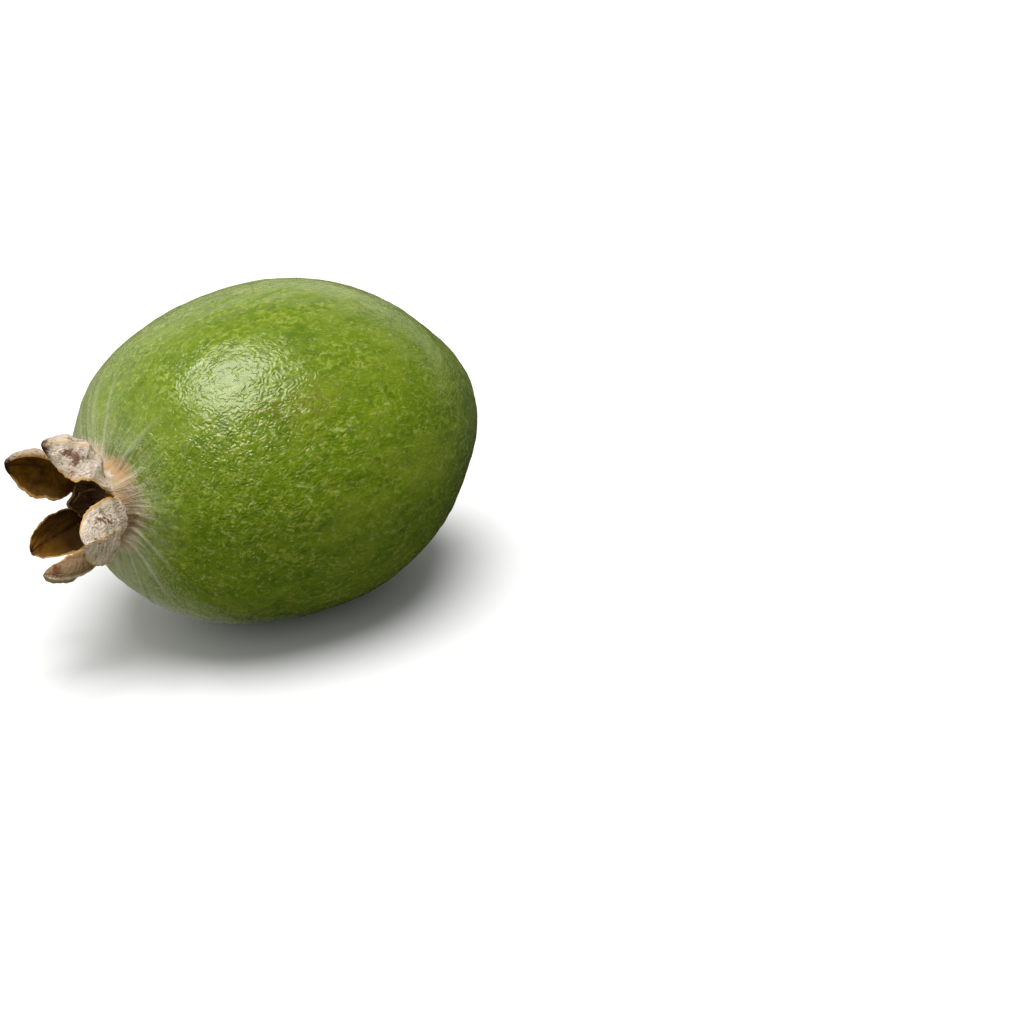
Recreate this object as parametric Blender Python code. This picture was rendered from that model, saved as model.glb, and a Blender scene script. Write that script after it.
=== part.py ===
"""A whole feijoa lying on its side, with its dried calyx.

The fruit's long axis runs along X, with the calyx towards -X and raised by a small angle.
The fruit rests on a small flat spot at z = 0, and the origin is under the middle of its
outline. Units are metres and +Z is up. A name that ends in MM holds millimetres.

Every piece is shaped in the fruit's own frame and then placed: there the origin is the
middle of the body, z points to the calyx, x to the top of the fruit and -y to its near side.
A bearing is an angle round the axis, from the top towards the near side.
"""

import math

import bmesh
import bpy
import numpy as np
from mathutils import Matrix, Vector

MM = 0.001

# Fruit body. The radius is proportional to (1 - u^2)^power * (1 + taper * u), where u runs
# from -1 at the stem end to +1 at the calyx end. The power changes smoothly from the stem
# half's to the calyx half's over the middle of the length, and rounds off the stem tip.
BODY_RADIUS_MM = 25.0
STEM_HALF_MM = 32.2
CALYX_HALF_MM = 33.0
STEM_TIP_POWER = 0.5
STEM_POWER = 0.62
CALYX_POWER = 0.393
MIDDLE_BLEND = (-0.7, 0.7)
TIP_BLEND = (-0.7, -1.0)
BODY_TAPER = 0.052
CALYX_RISE = math.radians(2.3)
REST_SPOT_DEPTH_MM = 0.45

# Calyx collar: the low ring that the sepals stand on, and the cup inside it.
COLLAR_RADIUS_MM = 6.2
COLLAR_TOP_MM = 33.4
CUP_RADIUS_MM = 4.7
CUP_FLOOR_MM = 31.8
CUP_DISH_MM = 0.15
RIM_ROUND_MM = 0.3
# The cup below its rim, as (share of the cup's radius, height over the floor) pairs.
CUP_OUTLINE = [(0.96, 0.6), (0.86, 0.0), (0.45, -CUP_DISH_MM), (0.0, -CUP_DISH_MM)]

# Stem scar: the small sunken disc that the stalk leaves.
SCAR_RADIUS_MM = 1.9
SCAR_DEPTH_MM = 0.4
# The scar from its middle outwards, as (share of its radius, share of its depth) pairs.
SCAR_OUTLINE = [(0.0, 1.0), (0.6, 1.0), (0.85, 0.2)]

# Faint ribs that run from the collar over the shoulder.
RIB_COUNT = 10
RIB_HEIGHT_MM = 0.2
RIB_START_MM = 20.0
RIB_FULL_MM = 28.0

# Style stub: the dried foot of the style, as (radius, height above the cup's middle) pairs.
# It starts at the gap that touching pieces keep.
GAP_MM = 0.3
STYLE_OUTLINE_MM = [
    (0.0, GAP_MM), (0.85, GAP_MM), (0.8, 0.6), (0.5, 1.1), (0.4, 2.0), (0.5, 2.5),
    (0.4, 2.75), (0.0, 2.85),
]

# Dried threads of the stamens: the points of each, as (bearing in degrees, radius, height).
FILAMENT_RADIUS_MM = 0.18
FILAMENTS_MM = {
    "dried_filament_1": [(52, 3.6, 32.5), (48, 4.5, 34.4), (41, 5.8, 35.8), (31, 6.0, 36.2)],
    "dried_filament_2": [(67, 3.5, 32.5), (62, 4.5, 34.4), (55, 5.6, 35.9), (48, 6.1, 36.9)],
    "dried_filament_3": [(196, 3.6, 32.5), (205, 4.3, 34.3), (216, 3.9, 36.4)],
    "dried_filament_4": [(282, 3.5, 32.5), (276, 3.9, 34.6), (262, 3.2, 36.2)],
}

BODY_SEGMENTS = 60
BODY_STEPS = 34
SEPAL_STEPS = 14
SEPAL_COLUMNS = 12
SEPAL_THICKNESS_MM = 0.6
STYLE_SEGMENTS = 16
SHARP_ANGLE = math.radians(40)
MERGE_MM = 0.01

# One entry for each sepal: a spoon-shaped lobe along a bent middle line. Angles are in
# degrees, lengths in millimetres.
#   bearing, foot: where the middle line starts, as (height, radius)
#   lean: angle from the axis outwards, as (at the foot, change with length, with its square)
#   swing: sideways angle of the middle line, as (at the foot, change with length)
#   twist: turn about the middle line, as (at the foot, change with length)
#   keel: slope of both flanks next to the fold along the back
#   curl: how much further each flank turns in at its margin, as (left, right, more at tip)
#   uneven: how much wider the right flank is than the middle, as a share
#   base: width at the foot as a share of the widest, widest: where that is along the length
#   tip_power: how blunt the tip is
SEPALS = {
    "sepal_upper": {
        "bearing": 26, "foot": (34.0, 6.2), "length": 12.4, "width": 10.0,
        "lean": (69, -70, -39), "swing": (-23, -3), "twist": (20, -2),
        "keel": 5, "curl": (107, 10, 45), "uneven": 0.0,
        "base": 0.42, "widest": 0.5, "tip_power": 0.46,
    },
    "sepal_near": {
        "bearing": 98, "foot": (34.0, 6.3), "length": 11.6, "width": 9.7,
        "lean": (36, -23, 1), "swing": (-14, 5), "twist": (-10, -27),
        "keel": 3, "curl": (6, 32, 59), "uneven": 0.0,
        "base": 0.8, "widest": 0.43, "tip_power": 0.55,
    },
    "sepal_lower": {
        "bearing": 148, "foot": (35.0, 6.2), "length": 11.6, "width": 6.9,
        "lean": (36, -43, -31), "swing": (3, 0), "twist": (-15, -39),
        "keel": 6, "curl": (46, 89, 18), "uneven": 0.0,
        "base": 0.66, "widest": 0.37, "tip_power": 0.55,
    },
    "sepal_far_low": {
        "bearing": 223, "foot": (34.1, 5.8), "length": 8.8, "width": 7.8,
        "lean": (24, 17, 17), "swing": (-4, 6), "twist": (2, -30),
        "keel": 3, "curl": (11, 80, 20), "uneven": 0.0,
        "base": 0.8, "widest": 0.27, "tip_power": 0.66,
    },
    "sepal_far_up": {
        "bearing": 305, "foot": (34.5, 5.3), "length": 10.5, "width": 10.2,
        "lean": (48, 12, -51), "swing": (-13, 0), "twist": (-1, -25),
        "keel": 2, "curl": (58, 60, 27), "uneven": 0.07,
        "base": 0.84, "widest": 0.53, "tip_power": 0.57,
    },
}


def clear_scene():
    """Remove every object of the open scene."""
    for thing in list(bpy.data.objects):
        bpy.data.objects.remove(thing, do_unlink=True)


def make_material(name, colour, roughness):
    """Return a Principled material of one colour."""
    material = bpy.data.materials.new(name)
    material.use_nodes = True
    shader = material.node_tree.nodes["Principled BSDF"]
    shader.inputs["Base Color"].default_value = (*colour, 1.0)
    shader.inputs["Roughness"].default_value = roughness
    shader.inputs["Metallic"].default_value = 0.0
    return material


def fruit_frame():
    """Return the matrix that lays the fruit's own frame down along -X, calyx end raised."""
    axis = Vector((-math.cos(CALYX_RISE), 0.0, math.sin(CALYX_RISE)))
    top = Vector((math.sin(CALYX_RISE), 0.0, math.cos(CALYX_RISE)))
    side = axis.cross(top)
    return Matrix((top, side, axis)).transposed().to_4x4()


def radial(bearing):
    """Return the unit vector that points out from the axis at a bearing in radians."""
    return np.array([math.cos(bearing), -math.sin(bearing), 0.0])


def sideways(bearing):
    """Return the unit vector round the axis at a bearing, towards larger bearings."""
    return np.array([-math.sin(bearing), -math.cos(bearing), 0.0])


def smooth_step(value, limits):
    """Return 0 before the first limit, 1 past the second, and a smooth rise between them."""
    share = np.clip((value - limits[0]) / (limits[1] - limits[0]), 0.0, 1.0)
    return share * share * (3 - 2 * share)


def body_radius(u):
    """Return the body's relative radius at places u from -1 to +1 along its length."""
    power = STEM_POWER + (CALYX_POWER - STEM_POWER) * smooth_step(u, MIDDLE_BLEND)
    power += (STEM_TIP_POWER - STEM_POWER) * smooth_step(u, TIP_BLEND)
    return np.clip(1 - u * u, 0.0, None) ** power * (1 + BODY_TAPER * u)


def body_outline():
    """Return (radius, height) pairs in millimetres, from the stem scar to the cup's middle."""
    fine = np.linspace(-1, 1, 4001)
    scale = BODY_RADIUS_MM / body_radius(fine).max()
    radii = body_radius(fine) * scale
    middle = len(fine) // 2
    first = fine[:middle][radii[:middle] >= SCAR_RADIUS_MM][0]
    last = fine[middle:][radii[middle:] >= COLLAR_RADIUS_MM + 2 * RIM_ROUND_MM][-1]
    # Even steps of angle crowd the rings towards both ends, where the outline bends most.
    angles = np.linspace(math.acos(-first), math.acos(-last), BODY_STEPS + 1)
    u = -np.cos(angles)
    skin = list(zip(body_radius(u) * scale, u * np.where(u < 0, STEM_HALF_MM, CALYX_HALF_MM)))
    stem_end = skin[0][1]
    scar = [(share * SCAR_RADIUS_MM, stem_end + depth * SCAR_DEPTH_MM)
            for share, depth in SCAR_OUTLINE]
    shoulder = skin[-1][1]
    collar = [
        (COLLAR_RADIUS_MM + RIM_ROUND_MM / 2, shoulder + RIM_ROUND_MM / 2),
        (COLLAR_RADIUS_MM, COLLAR_TOP_MM - RIM_ROUND_MM),
        (COLLAR_RADIUS_MM - RIM_ROUND_MM, COLLAR_TOP_MM),
        (CUP_RADIUS_MM + RIM_ROUND_MM, COLLAR_TOP_MM),
        (CUP_RADIUS_MM, COLLAR_TOP_MM - RIM_ROUND_MM),
    ]
    cup = [(share * CUP_RADIUS_MM, CUP_FLOOR_MM + rise) for share, rise in CUP_OUTLINE]
    return scar + skin + collar + cup


def spin_outline(outline, segments):
    """Turn an outline of (radius, height) pairs in millimetres into a closed bmesh."""
    bm = bmesh.new()
    ring = [bm.verts.new((radius * MM, 0.0, height * MM)) for radius, height in outline]
    edges = [bm.edges.new(pair) for pair in zip(ring, ring[1:])]
    bmesh.ops.spin(bm, geom=ring + edges, cent=(0, 0, 0), axis=(0, 0, 1),
                   angle=2 * math.pi, steps=segments, use_merge=True)
    bmesh.ops.remove_doubles(bm, verts=bm.verts, dist=MERGE_MM * MM)
    bmesh.ops.recalc_face_normals(bm, faces=bm.faces)
    return bm


def raise_ribs(bm):
    """Push the skin near the collar out and in, in faint ribs that fade along the body."""
    for vert in bm.verts:
        height = vert.co.z / MM
        radius = math.hypot(vert.co.x, vert.co.y) / MM
        if height < RIB_START_MM or radius <= COLLAR_RADIUS_MM + RIM_ROUND_MM:
            continue
        fade = min(1.0, (height - RIB_START_MM) / (RIB_FULL_MM - RIB_START_MM))
        ripple = math.cos(RIB_COUNT * math.atan2(vert.co.y, vert.co.x))
        growth = 1 + fade * RIB_HEIGHT_MM * ripple / radius
        vert.co.x *= growth
        vert.co.y *= growth


def cut_rest_spot(bm):
    """Cut the flat spot into a laid-down body and return its height in metres."""
    floor = min(vert.co.z for vert in bm.verts) + REST_SPOT_DEPTH_MM * MM
    cut = bmesh.ops.bisect_plane(bm, geom=bm.verts[:] + bm.edges[:] + bm.faces[:],
                                 plane_co=(0, 0, floor), plane_no=(0, 0, -1), clear_outer=True)
    rim = [item for item in cut["geom_cut"] if isinstance(item, bmesh.types.BMEdge)]
    bmesh.ops.holes_fill(bm, edges=rim)
    bmesh.ops.recalc_face_normals(bm, faces=bm.faces)
    return floor


def add_object(name, bm, material):
    """Put a bmesh into the scene as a smooth-shaded object."""
    mesh = bpy.data.meshes.new(name)
    bm.to_mesh(mesh)
    bm.free()
    mesh.shade_smooth()
    mesh.set_sharp_from_angle(angle=SHARP_ANGLE)
    mesh.materials.append(material)
    thing = bpy.data.objects.new(name, mesh)
    bpy.context.collection.objects.link(thing)
    return thing


def build_fruit_body(material):
    """Add the fruit body and return it with the height of its rest spot."""
    bm = spin_outline(body_outline(), BODY_SEGMENTS)
    raise_ribs(bm)
    bm.transform(fruit_frame())
    floor = cut_rest_spot(bm)
    return add_object("fruit_body", bm, material), floor


def flank_angles(sepal, along, across):
    """Return the slope of the cross-section, in radians, over the sepal's grid."""
    left, right, at_tip = sepal["curl"]
    curl = np.where(across < 0, left, right)[None, :] + at_tip * along[:, None]
    return np.radians(sepal["keel"] + curl * np.abs(across)[None, :])


def cross_section(angles, across):
    """Integrate the slopes from the keel to both margins: return sideways and inward parts."""
    step = across[1] - across[0]
    keel = len(across) // 2
    sides = []
    for part, mirror in ((np.cos(angles), -1.0), (np.sin(angles), 1.0)):
        middles = (part[:, 1:] + part[:, :-1]) / 2 * step
        right = np.cumsum(middles[:, keel:], axis=1)
        left = mirror * np.cumsum(middles[:, :keel][:, ::-1], axis=1)[:, ::-1]
        sides.append(np.hstack([left, np.zeros((len(part), 1)), right]))
    return sides


def middle_line(sepal, along):
    """Return a sepal's middle line and its directions along, across and inward at each step."""
    bearing = math.radians(sepal["bearing"])
    axis = np.array([0.0, 0.0, 1.0])
    out = radial(bearing)
    side = sideways(bearing)
    lean, swing, twist = (np.radians(np.polyval(sepal[key][::-1], along))[:, None]
                          for key in ("lean", "swing", "twist"))
    heading = np.cos(swing) * (np.cos(lean) * axis + np.sin(lean) * out) + np.sin(swing) * side
    steps = (heading[1:] + heading[:-1]) / 2 * sepal["length"] / SEPAL_STEPS
    foot_height, foot_radius = sepal["foot"]
    places = np.vstack([np.zeros(3), np.cumsum(steps, axis=0)])
    places += axis * foot_height + out * foot_radius
    flat = side - (heading @ side)[:, None] * heading
    flat /= np.linalg.norm(flat, axis=1)[:, None]
    inward = np.cross(flat, heading)
    across = np.cos(twist) * flat + np.sin(twist) * inward
    return places, across, np.cos(twist) * inward - np.sin(twist) * flat


def half_widths(sepal, along):
    """Return half the sepal's width, in millimetres, at each step of its length."""
    widest = sepal["widest"]
    swell = 1 - (1 - sepal["base"]) * ((widest - along) / widest) ** 2
    taper = np.clip(1 - ((along - widest) / (1 - widest)) ** 2, 0.0, 1.0) ** sepal["tip_power"]
    return sepal["width"] / 2 * np.where(along < widest, swell, taper)


def sepal_surface(sepal):
    """Return the grid of points, in millimetres, of a sepal's middle surface."""
    along = np.linspace(0.0, 1.0, SEPAL_STEPS + 1)
    across = np.linspace(-1.0, 1.0, SEPAL_COLUMNS + 1)
    places, sidewise, inward = middle_line(sepal, along)
    sidestep, instep = cross_section(flank_angles(sepal, along, across), across)
    uneven = 1 + sepal["uneven"] * np.sign(across)
    reach = half_widths(sepal, along)[:, None] * uneven[None, :]
    return (places[:, None, :] + sidewise[:, None, :] * (reach * sidestep)[..., None]
            + inward[:, None, :] * (reach * instep)[..., None])


def build_sepal(name, sepal, material):
    """Add one sepal: a flat grid bent into its spoon shape, then given its thickness."""
    points = sepal_surface(sepal)
    bm = bmesh.new()
    bmesh.ops.create_grid(bm, x_segments=SEPAL_COLUMNS, y_segments=SEPAL_STEPS, size=1.0)
    for vert in bm.verts:
        column = round((vert.co.x + 1) / 2 * SEPAL_COLUMNS)
        row = round((vert.co.y + 1) / 2 * SEPAL_STEPS)
        vert.co = Vector(points[row, column]) * MM
    bmesh.ops.remove_doubles(bm, verts=bm.verts, dist=MERGE_MM * MM)
    bmesh.ops.recalc_face_normals(bm, faces=bm.faces)
    bm.transform(fruit_frame())
    thing = add_object(name, bm, material)
    wall = thing.modifiers.new("wall", "SOLIDIFY")
    wall.thickness = SEPAL_THICKNESS_MM * MM
    wall.offset = 0.0
    return thing


def build_style_stub(material):
    """Add the style stub that stands in the middle of the cup."""
    foot = CUP_FLOOR_MM - CUP_DISH_MM
    outline = [(radius, foot + height) for radius, height in STYLE_OUTLINE_MM]
    bm = spin_outline(outline, STYLE_SEGMENTS)
    bm.transform(fruit_frame())
    return add_object("style_stub", bm, material)


def build_filament(name, points, material):
    """Add one dried thread: a thin tube along a smooth curve through its points."""
    curve = bpy.data.curves.new(name, "CURVE")
    curve.dimensions = "3D"
    curve.bevel_depth = FILAMENT_RADIUS_MM * MM
    curve.bevel_resolution = 1
    curve.resolution_u = 4
    curve.use_fill_caps = True
    spline = curve.splines.new("BEZIER")
    spline.bezier_points.add(len(points) - 1)
    for knot, (bearing, radius, height) in zip(spline.bezier_points, points):
        place = radial(math.radians(bearing)) * radius + np.array([0.0, 0.0, height])
        knot.co = fruit_frame() @ (Vector(place) * MM)
        knot.handle_left_type = knot.handle_right_type = "AUTO"
    curve.materials.append(material)
    thing = bpy.data.objects.new(name, curve)
    bpy.context.collection.objects.link(thing)
    return thing


def centre_on_footprint(things, floor):
    """Move the whole part so that its outline is centred on the origin and rests at z = 0."""
    bpy.context.view_layer.update()
    depsgraph = bpy.context.evaluated_depsgraph_get()
    corners = []
    for thing in things:
        mesh = thing.evaluated_get(depsgraph).to_mesh()
        corners += [thing.matrix_world @ vert.co for vert in mesh.vertices]
        thing.evaluated_get(depsgraph).to_mesh_clear()
    middle = [(min(c[k] for c in corners) + max(c[k] for c in corners)) / 2 for k in range(2)]
    for thing in things:
        thing.location -= Vector((middle[0], middle[1], floor))


def main():
    """Build the whole fruit."""
    clear_scene()
    skin = make_material("skin", (0.24, 0.32, 0.07), 0.5)
    dried = make_material("dried_sepal", (0.46, 0.36, 0.24), 0.85)
    thread = make_material("dried_thread", (0.40, 0.22, 0.08), 0.8)
    body, floor = build_fruit_body(skin)
    things = [body]
    for name, sepal in SEPALS.items():
        things.append(build_sepal(name, sepal, dried))
    things.append(build_style_stub(thread))
    for name, points in FILAMENTS_MM.items():
        things.append(build_filament(name, points, thread))
    centre_on_footprint(things, floor)


main()
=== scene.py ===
"""Looks of a whole feijoa that lies on its side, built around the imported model.

The fruit's own frame is used for every shape: its origin is the middle of the body, z points
to the calyx, x to the top of the fruit and -y to its near side, in millimetres. A bearing is
an angle round the axis, from the top towards the near side. The placement turns that frame
into the model's frame, in metres.
"""

import logging
import math
from dataclasses import dataclass, field
from enum import Enum

import bpy
import numpy as np
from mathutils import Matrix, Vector


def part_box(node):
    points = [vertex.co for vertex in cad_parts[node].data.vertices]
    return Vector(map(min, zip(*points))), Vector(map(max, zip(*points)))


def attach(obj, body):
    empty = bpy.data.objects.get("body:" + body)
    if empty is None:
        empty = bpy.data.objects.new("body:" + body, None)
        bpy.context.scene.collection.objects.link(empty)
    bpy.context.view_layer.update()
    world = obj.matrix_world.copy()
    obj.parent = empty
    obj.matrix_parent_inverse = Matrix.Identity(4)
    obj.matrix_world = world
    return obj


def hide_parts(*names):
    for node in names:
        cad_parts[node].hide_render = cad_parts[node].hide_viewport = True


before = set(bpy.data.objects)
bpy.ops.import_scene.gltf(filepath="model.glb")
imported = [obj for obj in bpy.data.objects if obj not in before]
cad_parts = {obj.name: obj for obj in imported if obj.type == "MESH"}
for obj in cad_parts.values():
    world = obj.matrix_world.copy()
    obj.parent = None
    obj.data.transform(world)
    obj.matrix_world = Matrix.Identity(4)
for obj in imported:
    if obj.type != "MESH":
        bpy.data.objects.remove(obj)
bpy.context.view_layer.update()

LOG = logging.getLogger("feijoa")
MM = 0.001
Array = np.ndarray


# --- Numbers on grids ----------------------------------------------------------------------


def smooth_step(value: Array, low: float, high: float) -> Array:
    """Rise smoothly from 0 to 1 between two limits.

    Args:
        value: Any array.
        low: Where the rise starts.
        high: Where it ends; it may be the smaller number, and then the step falls.

    Returns:
        3x^2 - 2x^3 of the share x of the way, held at 0 and 1 outside the limits.
    """
    share = np.clip((value - low) / (high - low), 0.0, 1.0)
    return share * share * (3 - 2 * share)


def bell(value: Array, middle: float, width: float) -> Array:
    """Return exp(-((value - middle) / width)^2), a hump of height 1."""
    return np.exp(-(((value - middle) / width) ** 2))


def turn_between(first: Array, second: float) -> Array:
    """Return the angle from the second bearing to the first, in degrees from -180 to 180."""
    return (first - second + 180.0) % 360.0 - 180.0


def running_sum(values: Array, places: Array, axis: int) -> Array:
    """Integrate by the trapezium rule.

    Args:
        values: What is integrated.
        places: Where along the axis each value stands.
        axis: The axis.

    Returns:
        The integral up to each place, 0 at the first.
    """
    steps = np.diff(places)
    shape = [1] * values.ndim
    shape[axis] = len(steps)
    pairs = (np.delete(values, 0, axis) + np.delete(values, -1, axis)) / 2
    total = np.cumsum(pairs * steps.reshape(shape), axis=axis)
    first = np.zeros_like(np.take(total, [0], axis=axis))
    return np.concatenate([first, total], axis=axis)


def unit(vectors: Array) -> Array:
    """Return the vectors of the last axis, each divided by its length."""
    return vectors / np.maximum(np.linalg.norm(vectors, axis=-1, keepdims=True), 1e-12)


@dataclass(frozen=True)
class WaveField:
    """A smooth random field: the mean of sine waves with random directions and phases.

    The value at p is the sum over waves of sin(k . p + phase), divided by the square root of
    half their number, where each k has a length near 2 pi / wavelength.
    """

    wavelength: float
    seed: int
    count: int = 28
    spread: float = 0.35

    def at(self, points: Array) -> Array:
        """Work out the field.

        Args:
            points: Places, with 3 parts on the last axis.

        Returns:
            The field at each place, about -2 to 2.
        """
        rng = np.random.default_rng(self.seed)
        directions = unit(rng.normal(size=(self.count, 3)))
        lengths = self.wavelength * np.exp(rng.uniform(-self.spread, self.spread, self.count))
        waves = directions * (2 * math.pi / lengths)[:, None]
        phases = rng.uniform(0, 2 * math.pi, self.count)
        return np.sin(points @ waves.T + phases).sum(axis=-1) / math.sqrt(self.count / 2)


@dataclass(frozen=True)
class Placement:
    """How the fruit's own frame lies in the model's frame."""

    rise: float
    centre: tuple[float, float, float]

    def axes(self) -> Array:
        """Return the fruit's x, y and z directions, as the rows of a matrix."""
        sine, cosine = math.sin(self.rise), math.cos(self.rise)
        return np.array([[sine, 0.0, cosine], [0.0, 1.0, 0.0], [-cosine, 0.0, sine]])

    def to_model(self, points: Array) -> Array:
        """Turn places in the fruit's frame, in millimetres, into the model's, in metres."""
        return points @ self.axes() * MM + np.array(self.centre)


def radial(bearing: Array) -> Array:
    """Return the unit vectors that point out from the axis at bearings in radians."""
    return np.stack([np.cos(bearing), -np.sin(bearing), np.zeros_like(bearing)], axis=-1)


def sideways(bearing: Array) -> Array:
    """Return the unit vectors round the axis at bearings in radians, to larger bearings."""
    return np.stack([-np.sin(bearing), -np.cos(bearing), np.zeros_like(bearing)], axis=-1)


# --- Meshes --------------------------------------------------------------------------------


def grid_normals(points: Array, closed: bool) -> Array:
    """Return the unit normals of a grid of points.

    Args:
        points: Grid of places: rows, columns, 3 parts.
        closed: Whether the last column joins the first.

    Returns:
        The cross product of the step between rows and the step between columns.
    """
    if closed:
        across = np.roll(points, -1, axis=1) - np.roll(points, 1, axis=1)
    else:
        across = np.gradient(points, axis=1)
    return unit(np.cross(np.gradient(points, axis=0), across))


def ring_faces(rows: int, columns: int, first: int = 0) -> list[tuple[int, ...]]:
    """Return the quads between closed rings of points.

    Args:
        rows: How many rings there are.
        columns: How many points each has.
        first: The number of the first point; they are numbered ring by ring.

    Returns:
        The corner numbers of each quad.
    """
    near = np.arange(columns)
    far = np.roll(near, -1)
    starts = first + columns * np.arange(rows - 1)[:, None]
    quads = np.stack([starts + near, starts + columns + near, starts + columns + far,
                      starts + far], axis=-1)
    return [tuple(face) for face in quads.reshape(-1, 4).tolist()]


def fan_faces(middle: int, first: int, columns: int, flip: bool) -> list[tuple[int, ...]]:
    """Return the triangles from one point to a closed ring of points.

    Args:
        middle: The number of the one point.
        first: The number of the ring's first point.
        columns: How many points the ring has.
        flip: Whether the one point comes before the ring, not after it.

    Returns:
        The corner numbers of each triangle.
    """
    near = first + np.arange(columns)
    far = first + (np.arange(columns) + 1) % columns
    pair = (near, far) if flip else (far, near)
    faces = np.stack([np.full(columns, middle), *pair], axis=-1)
    return [tuple(face) for face in faces.tolist()]


def poled_faces(rows: int, columns: int) -> list[tuple[int, ...]]:
    """Return the faces of rings with a point at each end, numbered from end to end."""
    last = 1 + rows * columns
    return (fan_faces(0, 1, columns, flip=True) + ring_faces(rows, columns, first=1)
            + fan_faces(last, last - columns, columns, flip=False))


def add_mesh(name: str, places: Array, faces: list[tuple[int, ...]],
             material: bpy.types.Material, marks: dict[str, Array]) -> bpy.types.Object:
    """Put a mesh into the scene as a smooth-shaded object at the origin.

    Args:
        name: The piece's name.
        places: Points in the model's frame, in metres.
        faces: Corner numbers of each face, counterclockwise from outside.
        material: The finish.
        marks: Named values for each point: one number each, or a vector of 3.

    Returns:
        The object.
    """
    mesh = bpy.data.meshes.new(name)
    mesh.from_pydata(places.tolist(), [], faces)
    for mark, values in marks.items():
        kind, part = ("FLOAT_VECTOR", "vector") if values.ndim == 2 else ("FLOAT", "value")
        layer = mesh.attributes.new(mark, kind, "POINT")
        layer.data.foreach_set(part, values.astype(np.float32).ravel())
    mesh.shade_smooth()
    mesh.materials.append(material)
    mesh.update()
    thing = bpy.data.objects.new(name, mesh)
    bpy.context.scene.collection.objects.link(thing)
    return thing


def place_piece(piece: bpy.types.Object, node: str | None) -> None:
    """Tell the frame where a piece belongs.

    Args:
        piece: The new piece.
        node: The CAD node that it stands for, or None where it only adds to the looks.
    """
    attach(piece, "root")
    if node is not None:
        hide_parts(node)
    LOG.info("%s: %d faces", piece.name, len(piece.data.polygons))


class Slot(Enum):
    """The record's material slots."""

    SKIN = "skin"
    SEPAL = "dried_sepal"
    THREAD = "dried_thread"


# --- Shader trees --------------------------------------------------------------------------

Socket = bpy.types.NodeSocket
Colour = tuple[float, float, float]


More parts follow.
